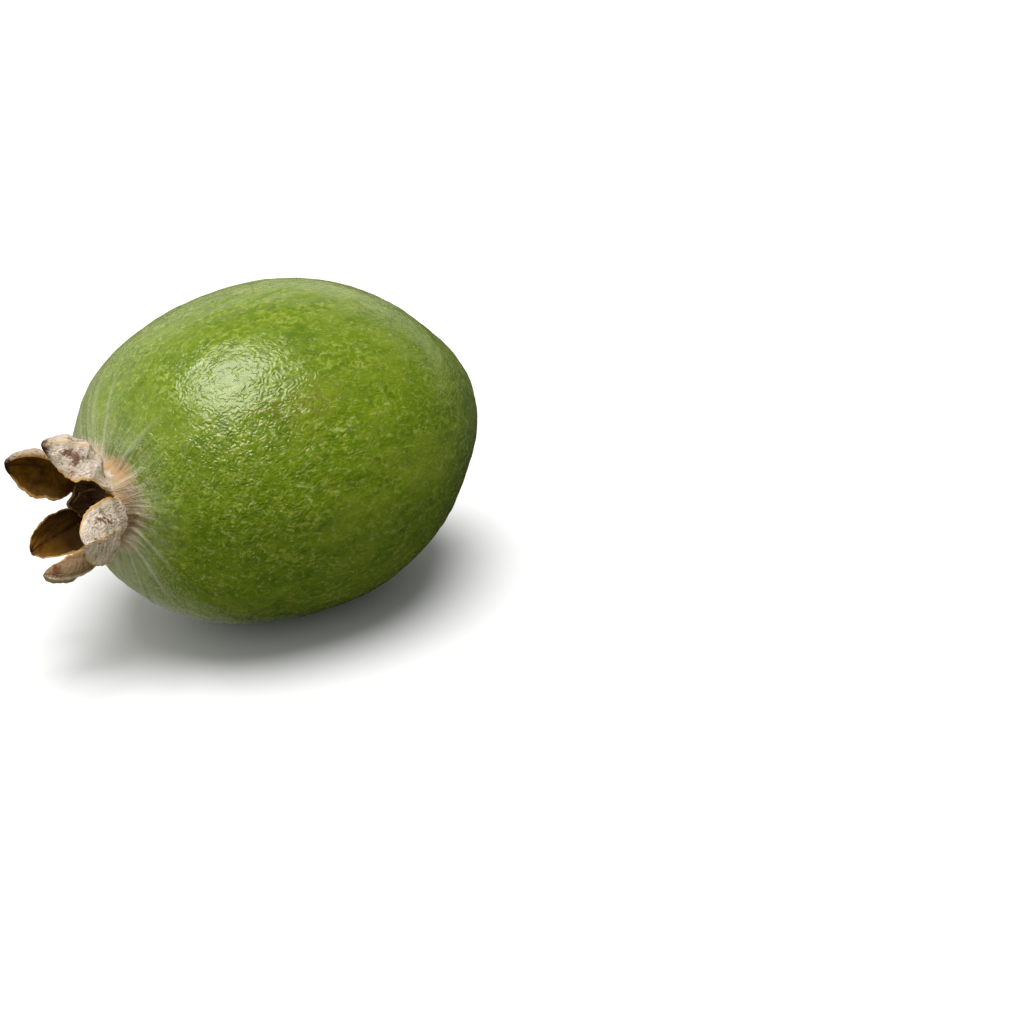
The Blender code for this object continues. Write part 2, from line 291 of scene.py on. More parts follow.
class Graph:
    """Adds nodes to one shader tree and joins them."""

    def __init__(self, tree: bpy.types.NodeTree, effects: "Effects | None" = None) -> None:
        """Keep the tree that the nodes go into and the groups that they may use."""
        self.tree = tree
        self.effects = effects

    def node(self, kind: str, inputs: dict[str | int, object] | None = None,
             **settings: object) -> bpy.types.Node:
        """Add one node.

        Args:
            kind: The node's type name.
            inputs: Values or sockets for its inputs, by name or number.
            **settings: Its own properties.

        Returns:
            The node.
        """
        made = self.tree.nodes.new(kind)
        for key, value in settings.items():
            setattr(made, key, value)
        for key, value in (inputs or {}).items():
            self.feed(made.inputs[key], value)
        return made

    def feed(self, target: Socket, value: object) -> None:
        """Join a socket to a target, or set the target's own value.

        Args:
            target: An input.
            value: A socket, a number, a vector or a colour of 3 parts.
        """
        if isinstance(value, bpy.types.NodeSocket):
            self.tree.links.new(value, target)
        elif isinstance(value, tuple) and target.type == "RGBA":
            target.default_value = (*value, 1.0)
        else:
            target.default_value = value

    def math(self, operation: str, *values: object) -> Socket:
        """Return the result of a Math node."""
        return self.node("ShaderNodeMath", dict(enumerate(values)), operation=operation).outputs[0]

    def times(self, first: object, second: object) -> Socket:
        """Return the product of two numbers."""
        return self.math("MULTIPLY", first, second)

    def plus(self, first: object, second: object) -> Socket:
        """Return the sum of two numbers."""
        return self.math("ADD", first, second)

    def ragged(self, value: Socket, noise: Socket, depth: float) -> Socket:
        """Return a value that a noise of mean 0.5 makes uneven, by half the depth each way."""
        return self.plus(value, self.times(self.math("SUBTRACT", noise, 0.5), depth))

    def scale(self, vector: Socket, factors: tuple[float, float, float]) -> Socket:
        """Return a vector times one factor for each part."""
        made = self.node("ShaderNodeVectorMath", {0: vector, 1: factors}, operation="MULTIPLY")
        return made.outputs[0]

    def step(self, value: object, low: object, high: object, start: object = 0.0,
             end: object = 1.0) -> Socket:
        """Return a value taken smoothly from one range, low to high, to another."""
        limits = {"From Min": low, "From Max": high, "To Min": start, "To Max": end}
        return self.node("ShaderNodeMapRange", {"Value": value, **limits},
                         interpolation_type="SMOOTHSTEP").outputs[0]

    def noise(self, vector: Socket, scale: object, detail: float = 2.0, roughness: float = 0.5,
              distortion: float = 0.0) -> Socket:
        """Return noise from 0 to 1; scale is how many features there are to a unit."""
        made = self.node("ShaderNodeTexNoise",
                         {"Vector": vector, "Scale": scale, "Detail": detail,
                          "Roughness": roughness, "Distortion": distortion})
        return made.outputs["Fac"]

    def mix(self, share: object, first: object, second: object) -> Socket:
        """Return the mix of two colours; inputs 6 and 7 and output 2 are the node's colours."""
        made = self.node("ShaderNodeMix", {0: share}, data_type="RGBA")
        self.feed(made.inputs[6], first)
        self.feed(made.inputs[7], second)
        return made.outputs[2]

    def mark(self, name: str) -> Socket:
        """Return a piece's own named value."""
        return self.node("ShaderNodeAttribute", attribute_name=name).outputs["Fac"]

    def mark_vector(self, name: str) -> Socket:
        """Return a piece's own named vector."""
        return self.node("ShaderNodeAttribute", attribute_name=name).outputs["Vector"]

    def millimetres(self) -> Socket:
        """Return the place on the object in millimetres."""
        place = self.node("ShaderNodeTexCoord").outputs["Object"]
        return self.scale(place, (1 / MM, 1 / MM, 1 / MM))

    def bump(self, height: Socket) -> Socket:
        """Return the normal that a height in millimetres gives."""
        made = self.node("ShaderNodeBump", {"Height": height, "Distance": MM, "Strength": 1.0})
        return made.outputs["Normal"]

    def use(self, group: bpy.types.NodeTree, **values: object) -> Socket:
        """Place a node group.

        Args:
            group: The group, which has one output.
            **values: Values or sockets for its inputs, by name.

        Returns:
            The group's output.
        """
        made = self.node("ShaderNodeGroup", node_tree=group)
        for key, value in values.items():
            self.feed(made.inputs[key], value)
        return made.outputs[0]


class Effects:
    """The node groups that more than one finish uses."""

    def __init__(self) -> None:
        """Build each group once."""
        self.wrinkles = self.build_wrinkles()
        self.blotches = self.build_blotches()
        self.streaks = self.build_streaks()
        self.dots = self.build_dots()

    @staticmethod
    def start(name: str, inputs: dict[str, float],
              output: str) -> tuple[Graph, dict[str, Socket], Socket]:
        """Start a group with a vector input named Vector.

        Args:
            name: The group's name.
            inputs: The usual value of each of its other inputs.
            output: The name of its one output.

        Returns:
            The graph, its inputs by name, and the socket that its result goes into.
        """
        tree = bpy.data.node_groups.new(name, "ShaderNodeTree")
        tree.interface.new_socket("Vector", in_out="INPUT", socket_type="NodeSocketVector")
        for label, usual in inputs.items():
            socket = tree.interface.new_socket(label, in_out="INPUT",
                                               socket_type="NodeSocketFloat")
            socket.default_value = usual
        tree.interface.new_socket(output, in_out="OUTPUT", socket_type="NodeSocketFloat")
        given = tree.nodes.new("NodeGroupInput").outputs
        result = tree.nodes.new("NodeGroupOutput").inputs[output]
        return Graph(tree), {label: given[label] for label in ("Vector", *inputs)}, result

    def build_wrinkles(self) -> bpy.types.NodeTree:
        """Build short crooked wrinkles.

        Returns:
            The group: 3/4 of waves of random headings and 1/4 of finer noise, both over a
            place that a broader noise has shifted.
        """
        graph, given, result = self.start("wrinkles", {"Size": 0.5, "Warp": 0.6}, "Height")
        vector, size = given["Vector"], given["Size"]
        fineness = graph.math("DIVIDE", 1.0, size)
        warp = graph.node("ShaderNodeTexNoise", {"Vector": vector, "Detail": 1.0,
                                                 "Scale": graph.times(fineness, 0.35)})
        centred = graph.node("ShaderNodeVectorMath", {0: warp.outputs["Color"],
                                                      1: (0.5, 0.5, 0.5)}, operation="SUBTRACT")
        reach = graph.times(graph.times(given["Warp"], size), 4.0)
        moved = graph.node("ShaderNodeVectorMath", {0: centred.outputs[0], "Scale": reach},
                           operation="SCALE")
        place = graph.node("ShaderNodeVectorMath", {0: vector, 1: moved.outputs[0]}).outputs[0]
        waves = graph.node("ShaderNodeTexGabor",
                           {"Vector": place, "Frequency": 1.6, "Anisotropy": 0.0,
                            "Scale": graph.times(fineness, 0.5)}, gabor_type="3D")
        fine = graph.noise(place, graph.times(fineness, 1.3))
        graph.feed(result, graph.plus(graph.times(waves.outputs["Value"], 0.75),
                                      graph.times(fine, 0.25)))
        return graph.tree

    def build_blotches(self) -> bpy.types.NodeTree:
        """Build soft-edged patches.

        Returns:
            The group: a step across a level of noise, as wide as the softness each way.
        """
        graph, given, result = self.start(
            "blotches", {"Size": 3.0, "Level": 0.5, "Soft": 0.1}, "Mask")
        fineness = graph.math("DIVIDE", 1.0, given["Size"])
        value = graph.noise(given["Vector"], fineness, 4.0, 0.6, 0.6)
        low = graph.math("SUBTRACT", given["Level"], given["Soft"])
        high = graph.plus(given["Level"], given["Soft"])
        graph.feed(result, graph.step(value, low, high))
        return graph.tree

    def build_streaks(self) -> bpy.types.NodeTree:
        """Build thin crooked lines along the third part of the place.

        Returns:
            The group: the places where a noise, stretched along the lines, is near 0.5.
        """
        graph, given, result = self.start(
            "streaks", {"Width": 0.4, "Stretch": 8.0, "Sharp": 0.2}, "Mask")
        parts = graph.node("ShaderNodeSeparateXYZ", {0: given["Vector"]})
        fineness = graph.math("DIVIDE", 1.0, given["Width"])
        ways = [graph.times(part, fineness) for part in parts.outputs]
        ways[2] = graph.math("DIVIDE", ways[2], given["Stretch"])
        place = graph.node("ShaderNodeCombineXYZ", dict(enumerate(ways)))
        value = graph.noise(place.outputs[0], 0.5, 2.0, 0.5, 0.4)
        off = graph.math("ABSOLUTE", graph.math("SUBTRACT", value, 0.5))
        graph.feed(result, graph.step(off, 0.0, given["Sharp"], 1.0, 0.0))
        return graph.tree

    def build_dots(self) -> bpy.types.NodeTree:
        """Build round dots.

        Returns:
            The group: soft discs in the middles of a share of the cells of a random pattern.
        """
        graph, given, result = self.start(
            "dots", {"Spacing": 2.0, "Radius": 0.15, "Share": 0.3}, "Mask")
        cells = graph.node("ShaderNodeTexVoronoi", {
            "Vector": given["Vector"], "Scale": graph.math("DIVIDE", 1.0, given["Spacing"])})
        away = graph.times(cells.outputs["Distance"], given["Spacing"])
        pick = graph.node("ShaderNodeSeparateColor", {0: cells.outputs["Color"]})
        chosen = graph.math("LESS_THAN", pick.outputs[0], given["Share"])
        disc = graph.step(away, 0.0, given["Radius"], 1.0, 0.0)
        graph.feed(result, graph.times(disc, chosen))
        return graph.tree


@dataclass(frozen=True)
class Wrinkles:
    """Sizes of crooked wrinkles in millimetres, and how far they are warped."""

    size: float
    warp: float

    def over(self, graph: Graph, vector: Socket) -> Socket:
        """Return the wrinkles' height, 0 to 1, over a place."""
        return graph.use(graph.effects.wrinkles, Vector=vector, Size=self.size, Warp=self.warp)


@dataclass(frozen=True)
class Patches:
    """Size of soft patches in millimetres, how rare they are, and how soft at the edge."""

    size: float
    level: float
    soft: float

    def over(self, graph: Graph, vector: Socket) -> Socket:
        """Return the patches' mask over a place."""
        return graph.use(graph.effects.blotches, Vector=vector, Size=self.size,
                         Level=self.level, Soft=self.soft)


@dataclass(frozen=True)
class Lines:
    """Spacing of thin lines in millimetres, how far they are stretched, and how wide."""

    width: float
    stretch: float
    sharp: float

    def over(self, graph: Graph, vector: Socket) -> Socket:
        """Return the lines' mask over a place."""
        return graph.use(graph.effects.streaks, Vector=vector, Width=self.width,
                         Stretch=self.stretch, Sharp=self.sharp)


@dataclass(frozen=True)
class Dots:
    """Spacing and radius of dots in millimetres, and the share of cells with a dot."""

    spacing: float
    radius: float
    share: float

    def over(self, graph: Graph, vector: Socket) -> Socket:
        """Return the dots' mask over a place."""
        return graph.use(graph.effects.dots, Vector=vector, Spacing=self.spacing,
                         Radius=self.radius, Share=self.share)


def new_material(
        name: str, effects: Effects | None = None,
) -> tuple[bpy.types.Material, Graph, bpy.types.Node]:
    """Make a material with one Principled shader.

    Args:
        name: The material's name.
        effects: The shared node groups, where it uses any.

    Returns:
        The material, the graph of its tree, and its shader.
    """
    material = bpy.data.materials.new(name)
    material.use_nodes = True
    tree = material.node_tree
    return material, Graph(tree, effects), tree.nodes["Principled BSDF"]


# --- Finishes ------------------------------------------------------------------------------


@dataclass(frozen=True)
class SkinFinish:
    """Waxy green skin with mottles and crooked wrinkles, felted round the calyx."""

    leaf: Colour = (0.143, 0.234, 0.000)
    deep: Colour = (0.078, 0.152, 0.000)
    pale: Colour = (0.345, 0.415, 0.035)
    wisp: Colour = (0.50, 0.56, 0.22)
    silver: Colour = (0.68, 0.68, 0.52)
    felt: Colour = (0.58, 0.49, 0.36)
    fuzz: Colour = (0.50, 0.25, 0.08)
    earth: Colour = (0.22, 0.135, 0.06)
    crest: Colour = (0.78, 0.69, 0.54)
    brown: Colour = (0.16, 0.08, 0.02)
    rim: Colour = (0.58, 0.31, 0.09)
    cup: Colour = (0.060, 0.018, 0.001)
    wrinkles: Wrinkles = Wrinkles(0.48, 0.8)
    wrinkle_depth: float = 0.24
    mottles: Patches = Patches(0.75, 0.53, 0.11)
    mottle_zones: Patches = Patches(4.5, 0.5, 0.16)
    mottle_shares: tuple[float, float] = (0.16, 0.58)
    wax: Patches = Patches(8.0, 0.54, 0.06)
    wax_share: float = 0.30
    spots: Patches = Patches(1.7, 0.56, 0.07)
    bands: Patches = Patches(3.0, 0.5, 0.12)
    curls: Lines = Lines(0.7, 1.3, 0.035)
    white_dots: Dots = Dots(2.6, 0.16, 0.35)
    pits: Dots = Dots(5.5, 0.3, 0.12)
    scuffs: Patches = Patches(0.9, 0.55, 0.08)
    hairs: Lines = Lines(1.1, 3.0, 0.09)
    clouds: Patches = Patches(1.5, 0.5, 0.2)
    hair_depth: float = 0.05
    felt_roughness: float = 0.95
    roughness: float = 0.23
    specular_tint: Colour = (1.0, 1.0, 0.85)
    specular: float = 0.74
    sheen: float = 0.05

    def green(self, graph: Graph, mottles: Socket, wrinkles: Socket) -> Socket:
        """Build the bare skin's colour.

        Args:
            graph: The graph of the material's tree.
            mottles: Mask of the small pale mottles.
            wrinkles: Height of the wrinkles, 0 to 1.

        Returns:
            Leaf green with darker spots and long bands, paler mottles in some zones, waxy
            patches, crests and curls, then white dots, brown pits and scuffs.
        """
        grain, place = graph.mark_vector("grain"), graph.millimetres()
        drawn_out = graph.scale(grain, (1.0, 1.0, 0.66))
        pale = graph.times(mottles, graph.step(self.mottle_zones.over(graph, drawn_out),
                                               0.0, 1.0, *self.mottle_shares))
        waxy = graph.times(self.wax.over(graph, drawn_out), 0.7)
        pale = graph.plus(pale, graph.times(waxy, graph.math("SUBTRACT", self.wax_share, pale)))
        pale = graph.plus(pale, graph.step(wrinkles, 0.52, 0.75, 0.0, 0.3))
        spots = self.spots.over(graph, graph.scale(grain, (1.0, 1.0, 0.7)))
        bands = self.bands.over(graph, graph.scale(graph.mark_vector("flow"), (1.0, 1.0, 0.2)))
        dark = graph.plus(graph.times(spots, 0.55), graph.times(bands, 0.4))
        curls = graph.times(self.curls.over(graph, drawn_out),
                            graph.step(mottles, 0.2, 0.8, 0.1, 0.6))
        curls = graph.times(curls, graph.step(graph.mark("coarse"), 0.4, 0.9, 0.45, 1.0))
        scuffs = graph.times(graph.mark("scuff"), self.scuffs.over(graph, place))
        colour = self.leaf
        for share, tone in (
                (dark, self.deep), (pale, self.pale), (curls, self.wisp),
                (graph.times(self.white_dots.over(graph, place), 0.5), self.silver),
                (graph.times(self.pits.over(graph, place), 0.75), self.brown),
                (graph.times(scuffs, 0.6), self.brown)):
            colour = graph.mix(share, colour, tone)
        return colour

    def collar(self, graph: Graph, hairs: Socket, clouds: Socket) -> Socket:
        """Build the felt's colour.

        Args:
            graph: The graph of the material's tree.
            hairs: Mask of the hairs.
            clouds: Mask of uneven patches.

        Returns:
            Beige felt with silver hairs, earthy patches, painted shade in brown at the near
            sepal's foot, orange fuzz, and pale crests on the pleats.
        """
        colour = self.felt
        for share, tone in (
                (graph.times(hairs, 0.25), self.silver),
                (graph.times(clouds, graph.mark("earthy")), self.earth),
                # painted shade: brown where the near sepal's foot meets the neck
                (graph.mark("foot"), self.brown),
                (graph.times(graph.mark("fuzzy"), 0.85), self.fuzz),
                (graph.times(graph.mark("pleat"), 0.8), self.crest)):
            colour = graph.mix(share, colour, tone)
        return colour

    def material(self, effects: Effects) -> bpy.types.Material:
        """Build the material.

        Args:
            effects: The shared node groups.

        Returns:
            The material, which reads the marks that the fruit body carries.
        """
        material, graph, shader = new_material("feijoa_skin", effects)
        drawn_out = graph.scale(graph.mark_vector("grain"), (1.0, 1.0, 0.66))
        felt, cup, pleat = (graph.mark(name) for name in ("felt", "cup", "pleat"))
        mottles = self.mottles.over(graph, drawn_out)
        wrinkles = self.wrinkles.over(graph, drawn_out)
        hairs = self.hairs.over(graph, graph.mark_vector("flow"))
        clouds = self.clouds.over(graph, graph.millimetres())
        bloom = graph.times(graph.mark("bloom"), graph.plus(graph.times(hairs, 0.45),
                                                            graph.times(clouds, 0.35)))
        cover = graph.plus(felt, graph.times(
            graph.math("SUBTRACT", graph.plus(hairs, clouds), 1.0), 0.3))
        cover = graph.times(graph.step(cover, 0.0, 1.0), graph.step(felt, 0.0, 0.3))
        colour = self.green(graph, mottles, wrinkles)
        for share, tone in (
                (bloom, self.silver), (graph.times(pleat, 0.62), self.silver),
                (cover, self.collar(graph, hairs, clouds)),
                (graph.times(graph.mark("rim"), 0.85), self.rim),
                (cup, graph.mix(graph.times(hairs, 0.4), self.cup, self.brown)),
                (graph.mark("scar"), graph.mix(clouds, self.brown, self.earth))):
            colour = graph.mix(share, colour, tone)
        graph.feed(shader.inputs["Base Color"], colour)

        rough = graph.plus(self.roughness, graph.times(mottles, 0.08))
        matt = graph.math("MAXIMUM", graph.math("MAXIMUM", cover, cup), pleat)
        graph.feed(shader.inputs["Roughness"],
                   graph.step(matt, 0.0, 1.0, rough, self.felt_roughness))
        fibres = graph.times(hairs, graph.math("MAXIMUM", cover, bloom))
        height = graph.plus(
            graph.times(wrinkles, graph.times(graph.mark("coarse"), self.wrinkle_depth)),
            graph.times(fibres, self.hair_depth))
        graph.feed(shader.inputs["Normal"], graph.bump(height))
        shader.inputs["Specular Tint"].default_value = (*self.specular_tint, 1.0)
        shader.inputs["Specular IOR Level"].default_value = self.specular
        shader.inputs["Sheen Weight"].default_value = self.sheen
        shader.inputs["Sheen Roughness"].default_value = 0.5
        return material


@dataclass(frozen=True)
class SepalFinish:
    """Dry sepal: crinkled beige felt outside, dark brown inside, with orange-brown rims."""

    felt: Colour = (0.68, 0.56, 0.44)
    pale: Colour = (0.84, 0.73, 0.61)
    shade: Colour = (0.30, 0.20, 0.12)
    fleck: Colour = (0.27, 0.12, 0.055)
    stain: Colour = (0.15, 0.058, 0.028)
    # a tan that is partly the felt's own and partly painted shade on chosen flanks
    tan_and_shade: Colour = (0.31, 0.205, 0.11)
    rim: Colour = (0.62, 0.36, 0.11)
    tip: Colour = (0.06, 0.022, 0.010)
    olive: Colour = (0.20, 0.085, 0.000)
    dark: Colour = (0.075, 0.026, 0.001)
    # painted shade on the inner face towards the foot
    inner_shade: Colour = (0.030, 0.011, 0.001)
    tan: Colour = (0.30, 0.15, 0.035)
    outer_patches: Patches = Patches(2.0, 0.5, 0.14)
    inner_patches: Patches = Patches(2.4, 0.5, 0.16)
    fine: Patches = Patches(0.55, 0.5, 0.1)
    flecks: Patches = Patches(0.8, 0.62, 0.05)
    fray: Patches = Patches(0.7, 0.5, 0.2)
    veins: Lines = Lines(0.9, 7.0, 0.1)
    wrinkles: Wrinkles = Wrinkles(0.46, 0.9)
    wrinkle_depths: tuple[float, float] = (0.34, 0.08)
    vein_depth: float = 0.05
    specular_tint: Colour = (1.0, 0.8, 0.5)
    specular: float = 0.15

    def outer_colour(self, graph: Graph, wrinkles: Socket) -> Socket:
        """Build the felted side's colour.

        Args:
            graph: The graph of the material's tree.
            wrinkles: Height of the crinkles, 0 to 1.

        Returns:
            Pale felt in uneven patches, a tan on chosen flanks that is partly painted shade,
            painted shade in the crinkles' hollows, with flecks and stains.
        """
        place = graph.millimetres()
        fine = self.fine.over(graph, place)
        stain = graph.ragged(graph.mark("stain"), fine, 0.45)
        colour = self.felt
        for share, tone in (
                (self.outer_patches.over(graph, place), self.pale),
                # the flank mark lays a tan that is partly painted shade
                (graph.mark("tan_and_shade"), self.tan_and_shade), (graph.times(fine, 0.2), self.shade),
                # painted shade in the hollows of the crinkles
                (graph.step(wrinkles, 0.5, 0.25, 0.0, 0.5), self.shade),
                (graph.times(self.flecks.over(graph, place), 0.7), self.fleck),
                (graph.step(stain, 0.35, 0.85, 0.0, 0.9), self.stain)):
            colour = graph.mix(share, colour, tone)
        return colour

    def inner_colour(self, graph: Graph, veins: Socket) -> Socket:
        """Build the smooth side's colour.

        Args:
            graph: The graph of the material's tree.
            veins: Mask of the veins.

        Returns:
            Dark brown and olive patches, paler veins and margins, painted shade towards the
            foot, and a dark midrib.
        """
        colour = self.dark
        for share, tone in (
                (self.inner_patches.over(graph, graph.millimetres()), self.olive),
                (graph.times(veins, 0.25), self.tan),
                (graph.step(graph.mark("edge"), 0.5, 1.0, 0.0, 0.7), self.tan),
                # painted shade on the inner face, darkest at the foot
                (graph.mark("inner_shade"), self.inner_shade), (graph.mark("midrib"), self.tip)):
            colour = graph.mix(share, colour, tone)
        return colour

    def material(self, effects: Effects) -> bpy.types.Material:
        """Build the material.

        Args:
            effects: The shared node groups.

        Returns:
            The material, which reads the marks that each sepal carries.
        """
        material, graph, shader = new_material("dried_sepal", effects)
        inside, flow = graph.mark("inside"), graph.mark_vector("flow")
        wrinkles = self.wrinkles.over(graph, graph.scale(flow, (1.0, 1.0, 0.7)))
        veins = self.veins.over(graph, flow)
        fray = self.fray.over(graph, graph.millimetres())
        edge = graph.ragged(graph.mark("edge"), fray, 0.05)
        line = graph.math("MAXIMUM", graph.step(edge, 0.88, 0.96, 0.0, 0.9),
                          graph.mark("keel"))
        tip = graph.ragged(graph.mark("tip"), fray, 0.06)
        colour = graph.mix(inside, self.outer_colour(graph, wrinkles),
                           self.inner_colour(graph, veins))
        colour = graph.mix(line, colour, self.rim)
        colour = graph.mix(graph.step(tip, 0.88, 0.98), colour, self.tip)
        graph.feed(shader.inputs["Base Color"], colour)
        graph.feed(shader.inputs["Roughness"],
                   graph.math("SUBTRACT", 0.92, graph.times(inside, 0.25)))
        depth = graph.step(inside, 0.0, 1.0, *self.wrinkle_depths)
        height = graph.plus(graph.times(wrinkles, depth),
                            graph.times(veins, graph.times(inside, self.vein_depth)))
        graph.feed(shader.inputs["Normal"], graph.bump(height))
        shader.inputs["Specular Tint"].default_value = (*self.specular_tint, 1.0)
        shader.inputs["Specular IOR Level"].default_value = self.specular
        return material


@dataclass(frozen=True)
class ThreadFinish:
    """Dry brown fibre, darker at the tip."""

    pale: Colour = (0.46, 0.24, 0.07)
    dark: Colour = (0.10, 0.045, 0.015)
    fibres: Lines = Lines(0.12, 8.0, 0.15)
    fibre_depth: float = 0.03
    patches: Patches = Patches(1.0, 0.5, 0.2)
    roughness: float = 0.7

    def material(self, effects: Effects) -> bpy.types.Material:
        """Build the material.

        Args:
            effects: The shared node groups.

        Returns:
            The material, of streaks along the thread, patches over it and a dark tip.
        """
        material, graph, shader = new_material("dried_thread", effects)
        fibres = self.fibres.over(graph, graph.mark_vector("flow"))
        colour = self.pale
        for share in (graph.times(fibres, 0.6),
                      graph.times(self.patches.over(graph, graph.millimetres()), 0.5),
                      graph.step(graph.mark("tip"), 0.8, 1.0)):
            colour = graph.mix(share, colour, self.dark)
        graph.feed(shader.inputs["Base Color"], colour)
        graph.feed(shader.inputs["Normal"], graph.bump(graph.times(fibres, self.fibre_depth)))
        shader.inputs["Roughness"].default_value = self.roughness
        return material


# --- Fruit body ----------------------------------------------------------------------------


@dataclass(frozen=True)
class Pleat:
    """A raised fold of the skin that runs out from the collar; sizes in mm, bearing in degrees."""

    bearing: float
    reach: float
    width: float
    strength: float
    bend: float = 0.0

    def at(self, bearing: Array, radius: Array) -> Array:
        """Return the fold's height.

        Args:
            bearing: Bearings in degrees.
            radius: Radii in millimetres.

        Returns:
            A bell across the fold, which widens and fades out along it.
        """
        middle = self.bearing + self.bend * (radius - 7.0)
        across = np.radians(turn_between(bearing, middle)) * radius
        fade = smooth_step(radius, self.reach, 0.45 * self.reach)
        width = self.width * (0.7 + 0.5 * radius / self.reach)
        return self.strength * bell(across, 0.0, width) * fade


PLEATS = (
    Pleat(56, 9.5, 0.35, 1.0), Pleat(354.5, 21, 0.30, 0.6, -1.3), Pleat(26, 18, 0.30, 0.6),
    Pleat(142, 24, 0.32, 1.3, 3.2), Pleat(124, 21, 0.36, 1.2, 2.8),
    Pleat(106, 17, 0.28, 0.9, 2.6), Pleat(338, 21, 0.5, 0.45, -1.0),
    Pleat(330, 22, 0.4, 0.4, -1.0), Pleat(346, 16, 0.2, 0.35, -1.6),
    Pleat(3, 14, 0.2, 0.35, -0.3), Pleat(12, 15, 0.2, 0.3, -1.0), Pleat(19, 13, 0.2, 0.4),
    Pleat(33, 15, 0.22, 0.4, -0.8), Pleat(44, 12, 0.22, 0.5, 0.3), Pleat(65, 12, 0.3, 0.5, 0.5),
    Pleat(76, 12, 0.25, 0.6, 0.8), Pleat(85, 14, 0.22, 0.5, 1.0), Pleat(96, 13, 0.3, 0.6, 1.8),
    Pleat(114, 15, 0.2, 0.5, 2.6), Pleat(119, 17, 0.6, 0.35, 2.8), Pleat(131, 19, 0.22, 0.6, 3.0),
    Pleat(136, 21, 0.7, 0.4, 3.0), Pleat(149, 21, 0.8, 0.45, 3.0), Pleat(157, 21, 0.3, 0.7, 2.6),
    Pleat(166, 23, 0.8, 0.5, 2.2), Pleat(176, 22, 0.3, 0.7, 1.6), Pleat(189, 19, 0.5, 0.6, 1.0),
    Pleat(206, 17, 0.4, 0.8), Pleat(224, 13, 0.3, 0.6), Pleat(240, 16, 0.4, 0.8),
    Pleat(262, 13, 0.3, 0.6), Pleat(281, 17, 0.4, 0.8), Pleat(299, 13, 0.3, 0.6),
    Pleat(315, 18, 0.4, 0.8, -0.6),
)
SEAM = PLEATS[0]


@dataclass(frozen=True)
class Zone:
    """A soft patch of the skin: a bell over bearings, and over radii or heights if it has any."""

    bearing: float
    spread: float
    strength: float
    middle: float | None = None
    width: float = 1.0

    def over(self, bearing: Array, place: Array) -> Array:
        """Return the patch's strength at bearings, and at radii or heights."""
        share = self.strength * bell(turn_between(bearing, self.bearing), 0.0, self.spread)
        return share if self.middle is None else share * bell(place, self.middle, self.width)


